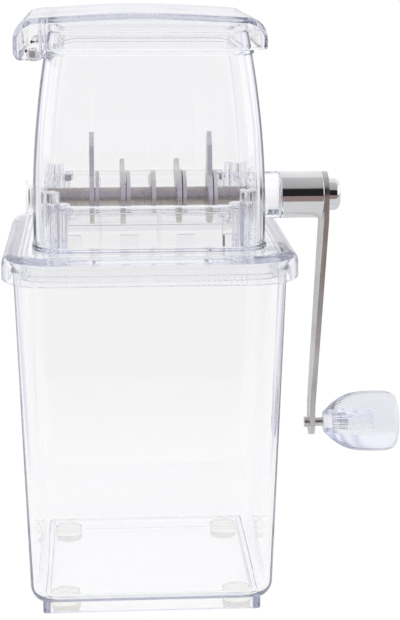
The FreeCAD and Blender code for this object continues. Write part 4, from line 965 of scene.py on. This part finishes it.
class CRUSHER_OT_fittings(bpy.types.Operator):
    """Build the threaded screws and hinge pins, and finish the bushes, the cap and the clip"""
    bl_idname = "crusher.fittings"
    bl_label = "Screws and bearings"

    def execute(self, context):
        zinc = worked_steel("zinc_plate", (0.97, 0.97, 0.97), (0.90, 0.90, 0.92), (0.32, 0.5),
                            (1, 1, 1), brush=0.1, metallic=0.2)
        pin_steel = worked_steel("pin_steel", (0.62, 0.62, 0.64), (0.48, 0.48, 0.50), (0.2, 0.35),
                                 (1, 1, 1), brush=0.1, metallic=0.7)
        for number in range(1, 5):
            low, high = node_box(f"tower_screw_{number}")
            x, y = (low[:2] + high[:2]) / 2
            add_piece(f"threaded_screw_{number}", *self.screw(x, y, low[2], high[2]), "head",
                      "zinc_steel", zinc, [f"tower_screw_{number}"])
        hinge_x, hinge_z = HINGE
        for name in ("front", "rear"):
            low, high = node_box(f"hinge_pin_{name}")
            face, back = (low[1], high[1]) if name == "front" else (high[1], low[1])
            inward = np.sign(back - face)
            head = [(face + depth * inward, *rest) for depth, *rest in PIN_HEAD]
            path = arc_path([*head, (back, PIN_RADIUS, 0.2), (back, NEAR_AXIS)], steps=4, support=0.1)
            pin = grid_mesh(turned_grid(path, "Y", 48, (hinge_x, 0, hinge_z)),
                            pole_start=(hinge_x, face + PIN_DISH * inward, hinge_z),
                            pole_end=(hinge_x, back, hinge_z))
            add_piece(f"round_pin_{name}", *pin, "head", "zinc_steel", pin_steel, [f"hinge_pin_{name}"])
        dress(["shaft_clip"], zinc)
        dress(["bearing_bush_left", "bearing_bush_right", "bearing_cap"],
              white_plastic("bearing_plastic"))
        return {"FINISHED"}

    def screw(self, x, y, low, high):
        """A headed screw: round its axis the radius is the core plus a triangle wave of
        height / pitch - angle / turn, narrowed to the point."""
        head, head_radius = SCREW_HEAD
        t = np.linspace(0, 2 * math.pi, SCREW_AROUND, endpoint=False)[None]
        z = np.linspace(low + head, high - 0.2, 120)[:, None]
        wave = np.abs((z / SCREW_PITCH - t / (2 * math.pi)) % 1.0 - 0.5) * 2
        taper = np.clip((high - z) / SCREW_POINT, 0.25, 1)
        radius = (SCREW_CORE + (SCREW_CREST - SCREW_CORE) * np.clip(wave * 1.6 - 0.5, 0, 1)) * taper
        thread = np.stack([radius * np.cos(t), radius * np.sin(t), np.broadcast_to(z, radius.shape)],
                          axis=-1)
        cap = arc_path([(low, NEAR_AXIS), (low, head_radius, 0.5), (low + head, head_radius, 0.4),
                        (low + head, SCREW_CORE + 0.05)], steps=4, support=0.3)
        grid = np.concatenate([turned_grid(cap, "Z", SCREW_AROUND), thread]) + (x, y, 0)
        return grid_mesh(grid, pole_start=(x, y, low), pole_end=(x, y, high))


# ---------------------------------------------------------------- the crank and the knob


SLEEVE_BORE = 4.05
SLEEVE_RADII = (10.2, 10.0)  # at its ends and in its waist
SLEEVE_WAIST = 18.6  # radius of the long curve between them
NUT_RADIUS = 6.95
NUT_DOME = 2.7
NUT_HOLLOW = (2.0, 2.5)  # depth and radius


class CRUSHER_OT_crank(bpy.types.Operator):
    """Build the chromed sleeve and the cap nut, and finish the arm"""
    bl_idname = "crusher.crank"
    bl_label = "Crank"

    def execute(self, context):
        plating = chrome("bright_chrome")
        axis = (0, 0, SHAFT_Z)
        low, high = (corner[0] for corner in node_box("crank_sleeve"))
        rim, waist = SLEEVE_RADII
        path = arc_path([
            (low, SLEEVE_BORE, 0.2), (low, rim, 0.6), ((low + high) / 2, waist, SLEEVE_WAIST),
            (high, rim, 0.6), (high, SLEEVE_BORE, 0.2)], closed=True, steps=8)
        sleeve = grid_mesh(turned_grid(path, "X", 128, axis), closed_rows=True)
        add_piece("chromed_sleeve", *sleeve, "crank", "chrome", plating, ["crank_sleeve"])
        low, high = (corner[0] for corner in node_box("cap_nut"))
        hollow = low + NUT_HOLLOW[0]
        path = arc_path([
            (hollow, NEAR_AXIS), (hollow, NUT_HOLLOW[1], 0.2), (low, NUT_HOLLOW[1], 0.2),
            (low, NUT_RADIUS, 0.4), (high, NUT_RADIUS, NUT_DOME), (high, NEAR_AXIS)], steps=8)
        nut = grid_mesh(turned_grid(path, "X", 96, axis), pole_start=(hollow, 0, SHAFT_Z),
                        pole_end=(high, 0, SHAFT_Z))
        add_piece("cap_nut_round", *nut, "crank", "chrome", plating, ["cap_nut"])
        arm = worked_steel("drawn_arm_steel", (0.74, 0.73, 0.72), (0.58, 0.57, 0.56), (0.20, 0.38),
                           (1, 1, 0.03))
        dress(["crank_arm", "knob_axle"], arm)
        return {"FINISHED"}


KNOB_FLARE = (  # the bell's outside: distance from its open end, and radius
    (0, 4.0), (0.15, 4.5), (0.7, 5.0), (2.0, 6.2), (4.5, 8.5), (8.0, 10.7), (12.3, 12.35),
    (17, 12.95), (22.5, 13.15), (27.5, 13.0), (30.2, 12.3), (31.9, 10.6), (32.6, 8.0), (32.8, 5.0),
    (32.8, 2.0))
CORE_PLACE = (4.6, 21.4)  # where the pocket for the fluted core starts and ends in the bell
CORE_POCKET = 3.9
CORE_RADIUS = 3.84
CORE_BORES = (2.0, 2.8)  # at the core's seat, and beyond it
CORE_SEAT = 4.1
NECK_BORE = 3.45
FLUTES, FLUTE_DEPTH = 20, 0.17  # the depth is a share of the radius
BELL_LINES, LINE_DEPTH = 40, 0.0025
KNOB_AROUND = 240


def smooth_line(corners):
    """A smooth line through points: on each span the cubic whose ends head along the neighbours'
    chords."""
    ends = np.vstack([2 * corners[0] - corners[1], corners, 2 * corners[-1] - corners[-2]])
    a, b, c, d = ends[:-3, None], ends[1:-2, None], ends[2:-1, None], ends[3:, None]
    t = np.linspace(0, 1, 6, endpoint=False)[None, :, None]
    line = 0.5 * (2 * b + (c - a) * t + (2 * a - 5 * b + 4 * c - d) * t ** 2
                  + (3 * b - a - 3 * c + d) * t ** 3)
    return np.vstack([line.reshape(-1, 2), corners[-1:]])


class CRUSHER_OT_knob(bpy.types.Operator):
    """Build the clear bell of the knob and its fluted core, and finish its bush"""
    bl_idname = "crusher.knob"
    bl_label = "Knob"

    def execute(self, context):
        plastic, _ = settings()
        low, high = node_box("knob_bell")
        start, end, axis = low[0], high[0], (0, 0, (low[2] + high[2]) / 2)
        t = np.linspace(0, 2 * math.pi, KNOB_AROUND, endpoint=False)

        def carved(path, share):
            """A turned path whose radius shrinks by a share at each point and angle."""
            grid = turned_grid(path, "X", KNOB_AROUND, axis)
            grid[..., 1:] = axis[1:] + (grid[..., 1:] - axis[1:]) * (1 - share)[..., None]
            return grid

        pocket, pocket_end = start + CORE_PLACE[0], start + CORE_PLACE[1]
        inside = arc_path([
            (pocket_end, NEAR_AXIS), (pocket_end, CORE_POCKET, 0.3), (pocket, CORE_POCKET, 0.2),
            (pocket, NECK_BORE, 0.1), (start, NECK_BORE, 0.3), (start, KNOB_FLARE[0][1])],
            steps=6, support=0.3)
        flare = smooth_line(np.array(KNOB_FLARE))
        flare[:, 0] = start + flare[:, 0] * (end - start) / KNOB_FLARE[-1][0]
        path = np.vstack([inside, flare[1:], (end, NEAR_AXIS)])
        share = np.clip((path[:, 1] - 6.0) / 5.0, 0, 1) * np.clip((end - path[:, 0]) / 6.0, 0, 1)
        bell = carved(path, LINE_DEPTH * share[:, None] * (1 - np.cos(BELL_LINES * t)))
        bell = grid_mesh(bell, pole_start=(pocket_end, 0, axis[2]), pole_end=(end, 0, axis[2]))
        material = clear_plastic("clear_knob_plastic", plastic, wave=0.03, depth_share=2.0)
        add_piece("clear_bell", *bell, "knob", "knob_plastic", material, ["knob_bell"])
        low, high = node_box("knob_core")
        first, seat, far = low[0], low[0] + CORE_SEAT, high[0] - CONTACT_GAP
        narrow, wide = CORE_BORES
        path = arc_path([
            (first, narrow, 0.1), (first, CORE_RADIUS, 0.2), (far, CORE_RADIUS, 0.2), (far, wide, 0.1),
            (seat, wide, 0.1), (seat, narrow, 0.1)], closed=True, steps=3, support=0.3)
        fluted = (path[:, 1:] > 3.2) * (0.5 - 0.5 * np.cos(FLUTES * t)) ** 0.7
        core = grid_mesh(carved(path, FLUTE_DEPTH * fluted), closed_rows=True)
        add_piece("fluted_core", *core, "knob", "knob_plastic",
                  clear_plastic("clear_core_plastic", plastic, wave=0.05), ["knob_core"])
        dress(["knob_bush"], white_plastic("bush_plastic"))
        return {"FINISHED"}


# ---------------------------------------------------------------- stage, light and camera


# Colours of the studio beside the object, by the angle off the front view's line in half turns:
# the sweep, its shaded edges, the light stands and the room. The world gives them off as light;
# on the floor they are painted light and painted shade for rays that the plastic bends.
STUDIO_SIDES = (
    (0.075, (1.0, 1.0, 1.0)), (0.095, (0.76, 0.77, 0.86)), (0.122, (0.84, 0.85, 0.92)),
    (0.145, (1.0, 1.0, 1.0)), (0.19, (0.66, 0.67, 0.77)), (0.233, (0.97, 0.97, 1.0)),
    (0.30, (1.0, 1.0, 1.0)), (0.36, (0.64, 0.65, 0.76)), (0.50, (0.76, 0.77, 0.86)),
    (0.556, (1.0, 1.0, 1.0)), (0.75, (0.86, 0.87, 0.94)), (1.0, (0.80, 0.80, 0.87)))
SKY_GREY = (0.78, 0.78, 0.78, 1)
WHITE = (1, 1, 1, 1)
STRIP_FROM = 0.82  # how far to the side a direction meets a bright strip
FLOOR_HALF = 60.0
# Gloss sees a painted reflection on the floor: painted lit grey behind this line, painted unlit
# brown-grey before it
TABLE_EDGE = -0.34  # the floor in gloss is lit behind this line and unlit before it
# The painted shade in front of the object fades out between these two lines
FRONT_FADE = (-0.26, -0.07)  # where the floor's shade in front of the object fades out
PAPER_SHARE, PAPER_STRENGTH = 0.8, 1.02  # how much of the floor the camera sees as white paper
BOUNCES = 64
SENSOR = 36.0


def grey(value):
    """A colour with one value in its three parts."""
    return (value, value, value)


def coordinate(tree, kind):
    """The three parts of a texture coordinate."""
    place = tree.nodes.new("ShaderNodeTexCoord")
    split = tree.nodes.new("ShaderNodeSeparateXYZ")
    tree.links.new(place.outputs[kind], split.inputs[0])
    return split.outputs


class CRUSHER_OT_stage(bpy.types.Operator):
    """Lay the floor, light the studio and place the camera"""
    bl_idname = "crusher.stage"
    bl_label = "Stage"

    def execute(self, context):
        _, stage = settings()
        scene = context.scene
        scene.view_settings.view_transform = "Standard"
        cycles = scene.cycles
        cycles.max_bounces = cycles.transmission_bounces = cycles.glossy_bounces = BOUNCES
        cycles.diffuse_bounces = 24
        cycles.transparent_max_bounces = 16
        cycles.blur_glossy = 0.0  # any more turns white pieces behind the clear plastic grey
        cycles.use_denoising = True
        cycles.denoiser = "OPENIMAGEDENOISE"
        self.floor(stage)
        self.studio(scene, stage)
        self.camera(scene, stage)
        return {"FINISHED"}

    def floor(self, stage):
        """A pale sheet with a glow of its own, as each kind of ray sees it.

        The camera sees mostly white paper. Rays that the plastic bends see a painted shade in front of
        the object and, off the view's line, the studio's sides painted as bands of light and shade by
        the angle round the front camera's place, which stay where they are for other cameras. Gloss
        sees a painted
        reflection: the floor painted lit behind the table's edge and unlit before it. Light that has
        met a matt surface sees the paint alone."""
        mesh = bpy.data.meshes.new("pale_floor")
        size = FLOOR_HALF
        mesh.from_pydata([(-size, -size, 0), (size, -size, 0), (size, size, 0), (-size, size, 0)], [],
                         [(0, 1, 2, 3)])
        floor = bpy.data.objects.new("pale_floor", mesh)
        bpy.context.scene.collection.objects.link(floor)
        material, tree, paint, output = new_material("floor_paint")
        for name, value in (("Base Color", (*stage.floor_shade, 1)), ("Roughness", 0.9),
                            ("Specular IOR Level", 0.0), ("Emission Color", WHITE),
                            ("Emission Strength", stage.floor_glow)):
            paint.inputs[name].default_value = value

        def glow(colour, strength=1.0):
            """A surface that gives off a colour."""
            node = tree.nodes.new("ShaderNodeEmission")
            node.inputs["Strength"].default_value = strength
            feed(tree, node.inputs["Color"], colour)
            return node.outputs[0]

        def over(share, below, above):
            """One surface over another, by a share."""
            node = tree.nodes.new("ShaderNodeMixShader")
            for socket, value in zip(node.inputs, (share, below, above)):
                feed(tree, socket, value)
            return node.outputs[0]

        x, y, _ = coordinate(tree, "Object")
        rays = tree.nodes.new("ShaderNodeLightPath").outputs
        bent = rays["Is Transmission Ray"]
        gloss = math_node(tree, "SUBTRACT", rays["Is Glossy Ray"], bent, clamp=True)
        # Painted reflection for gloss: the floor painted lit behind the table's edge and painted unlit
        # before it
        before_edge = math_node(tree, "LESS_THAN", y, TABLE_EDGE)
        painted_gloss_floor = colour_ramp(tree, before_edge, [(0.0, grey(0.68)), (1.0, (0.30, 0.225, 0.215))])
        surface = over(gloss, paint.outputs[0], glow(painted_gloss_floor))
        # Painted light and shade: the studio's sides painted on the floor as bands by the angle round
        # the front camera's place, seen only by rays that the plastic bends
        ahead = math_node(tree, "SUBTRACT", y, stage.camera_place[1])
        turn = half_turns(tree, math_node(tree, "ABSOLUTE", x), ahead)
        wide = math_node(tree, "GREATER_THAN", turn, STUDIO_SIDES[0][0])
        surface = over(math_node(tree, "MULTIPLY", wide, bent), surface,
                       glow(colour_ramp(tree, turn, STUDIO_SIDES)))
        # Painted shade on the floor in front of the object, fading out near it, for rays that the
        # plastic bends only
        front = map_range(tree, y, 1.0, 0.0, *FRONT_FADE)
        surface = over(math_node(tree, "MULTIPLY", front, bent), surface, glow((*stage.front_painted_shade, 1)))
        matt = math_node(tree, "GREATER_THAN", rays["Diffuse Depth"], 0.5)
        surface = over(matt, surface, paint.outputs[0])
        direct = math_node(tree, "MULTIPLY", rays["Is Camera Ray"], PAPER_SHARE)
        surface = over(direct, surface, glow(WHITE, PAPER_STRENGTH))
        tree.links.new(surface, output.inputs["Surface"])
        mesh.materials.append(material)

    def studio(self, scene, stage):
        """The light round the object, as each kind of ray sees it.

        Gloss sees, over the top from behind the camera to behind the object, the unlit room, its
        grey ceiling and the bright sweep, with a bright strip at each side. Rays that the plastic
        bends see softer shades of that room, times the studio's sides. All else sees an even grey."""
        world = bpy.data.worlds.new("studio")
        scene.world = world
        world.use_nodes = True
        tree = world.node_tree
        tree.nodes.clear()
        output = tree.nodes.new("ShaderNodeOutputWorld")
        background = tree.nodes.new("ShaderNodeBackground")
        tree.links.new(background.outputs[0], output.inputs["Surface"])

        def mix(share, first, second, blend="MIX"):
            """One colour over another, by a share."""
            node = tree.nodes.new("ShaderNodeMix")
            node.data_type, node.blend_type = "RGBA", blend
            feed(tree, node.inputs[0], share)
            feed(tree, node.inputs["A"], first)
            feed(tree, node.inputs["B"], second)
            return node.outputs["Result"]

        x, y, z = coordinate(tree, "Generated")
        rays = tree.nodes.new("ShaderNodeLightPath").outputs
        aside = math_node(tree, "ABSOLUTE", x)
        climb = half_turns(tree, z, math_node(tree, "MULTIPLY", y, -1.0))
        dark, soft = stage.room_dark, stage.room_soft
        gloss = colour_ramp(tree, climb, [
            (0.0, dark), (0.19, dark), (0.235, grey(0.27)), (0.54, grey(0.37)), (0.58, grey(0.54)),
            (0.80, grey(0.60)), (0.93, (0.66, 0.66, 0.68)), (1.0, (0.60, 0.60, 0.62))])
        bent = colour_ramp(tree, climb, [
            (0.0, soft), (0.20, soft), (0.30, (0.70, 0.71, 0.76)), (0.64, (0.74, 0.74, 0.76)),
            (1.0, (0.76, 0.76, 0.77))])
        sides = colour_ramp(tree, half_turns(tree, aside, y), STUDIO_SIDES)
        strip = math_node(tree, "GREATER_THAN", aside, STRIP_FROM)
        room = mix(rays["Is Glossy Ray"], SKY_GREY, mix(strip, gloss, WHITE))
        room = mix(rays["Is Transmission Ray"], room, mix(1.0, bent, sides, "MULTIPLY"))
        room = mix(math_node(tree, "GREATER_THAN", rays["Diffuse Depth"], 0.5), room, SKY_GREY)
        tree.links.new(room, background.inputs["Color"])
        background.inputs["Strength"].default_value = stage.sky_strength

    def camera(self, scene, stage):
        """A camera with a shifted lens, turned and tilted as the settings say."""
        data = bpy.data.cameras.new("product_camera")
        camera = bpy.data.objects.new("product_camera", data)
        scene.collection.objects.link(camera)
        data.sensor_width = SENSOR
        data.lens = stage.focal_pixels * SENSOR
        data.shift_x, data.shift_y = stage.shift_x, stage.shift_y
        data.clip_start, data.clip_end = 0.01, 200.0
        camera.location = stage.camera_place
        camera.rotation_euler = (math.pi / 2 - stage.camera_down, 0, -stage.camera_turn)
        scene.camera = camera


class CRUSHER_PT_panel(bpy.types.Panel):
    """Lists the pieces and their settings"""
    bl_label = "Ice crusher"
    bl_idname = "CRUSHER_PT_panel"
    bl_space_type = "VIEW_3D"
    bl_region_type = "UI"
    bl_category = "Crusher"

    def draw(self, context):
        layout = self.layout
        for group in settings():
            box = layout.box()
            for name in group.__annotations__:
                box.prop(group, name)
        for operator in OPERATORS:
            layout.operator(operator.bl_idname)


OPERATORS = (CRUSHER_OT_tub, CRUSHER_OT_feet, CRUSHER_OT_collar, CRUSHER_OT_tower, CRUSHER_OT_lid,
             CRUSHER_OT_carrier, CRUSHER_OT_cutters, CRUSHER_OT_fittings, CRUSHER_OT_crank,
             CRUSHER_OT_knob, CRUSHER_OT_stage)
CLASSES = (CrusherPlastic, CrusherStage, *OPERATORS, CRUSHER_PT_panel)


def register():
    """Makes the settings, operators and panel known to Blender."""
    for item in CLASSES:
        bpy.utils.register_class(item)
    bpy.types.Scene.crusher_plastic = bpy.props.PointerProperty(type=CrusherPlastic)
    bpy.types.Scene.crusher_stage = bpy.props.PointerProperty(type=CrusherStage)


def unregister():
    """Takes them out again, last first."""
    del bpy.types.Scene.crusher_stage, bpy.types.Scene.crusher_plastic
    for item in reversed(CLASSES):
        bpy.utils.unregister_class(item)


def main():
    """Builds every piece and the stage."""
    register()
    for operator in OPERATORS:
        group, name = operator.bl_idname.split(".")
        getattr(getattr(bpy.ops, group), name)()


if __name__ == "__main__":
    main()
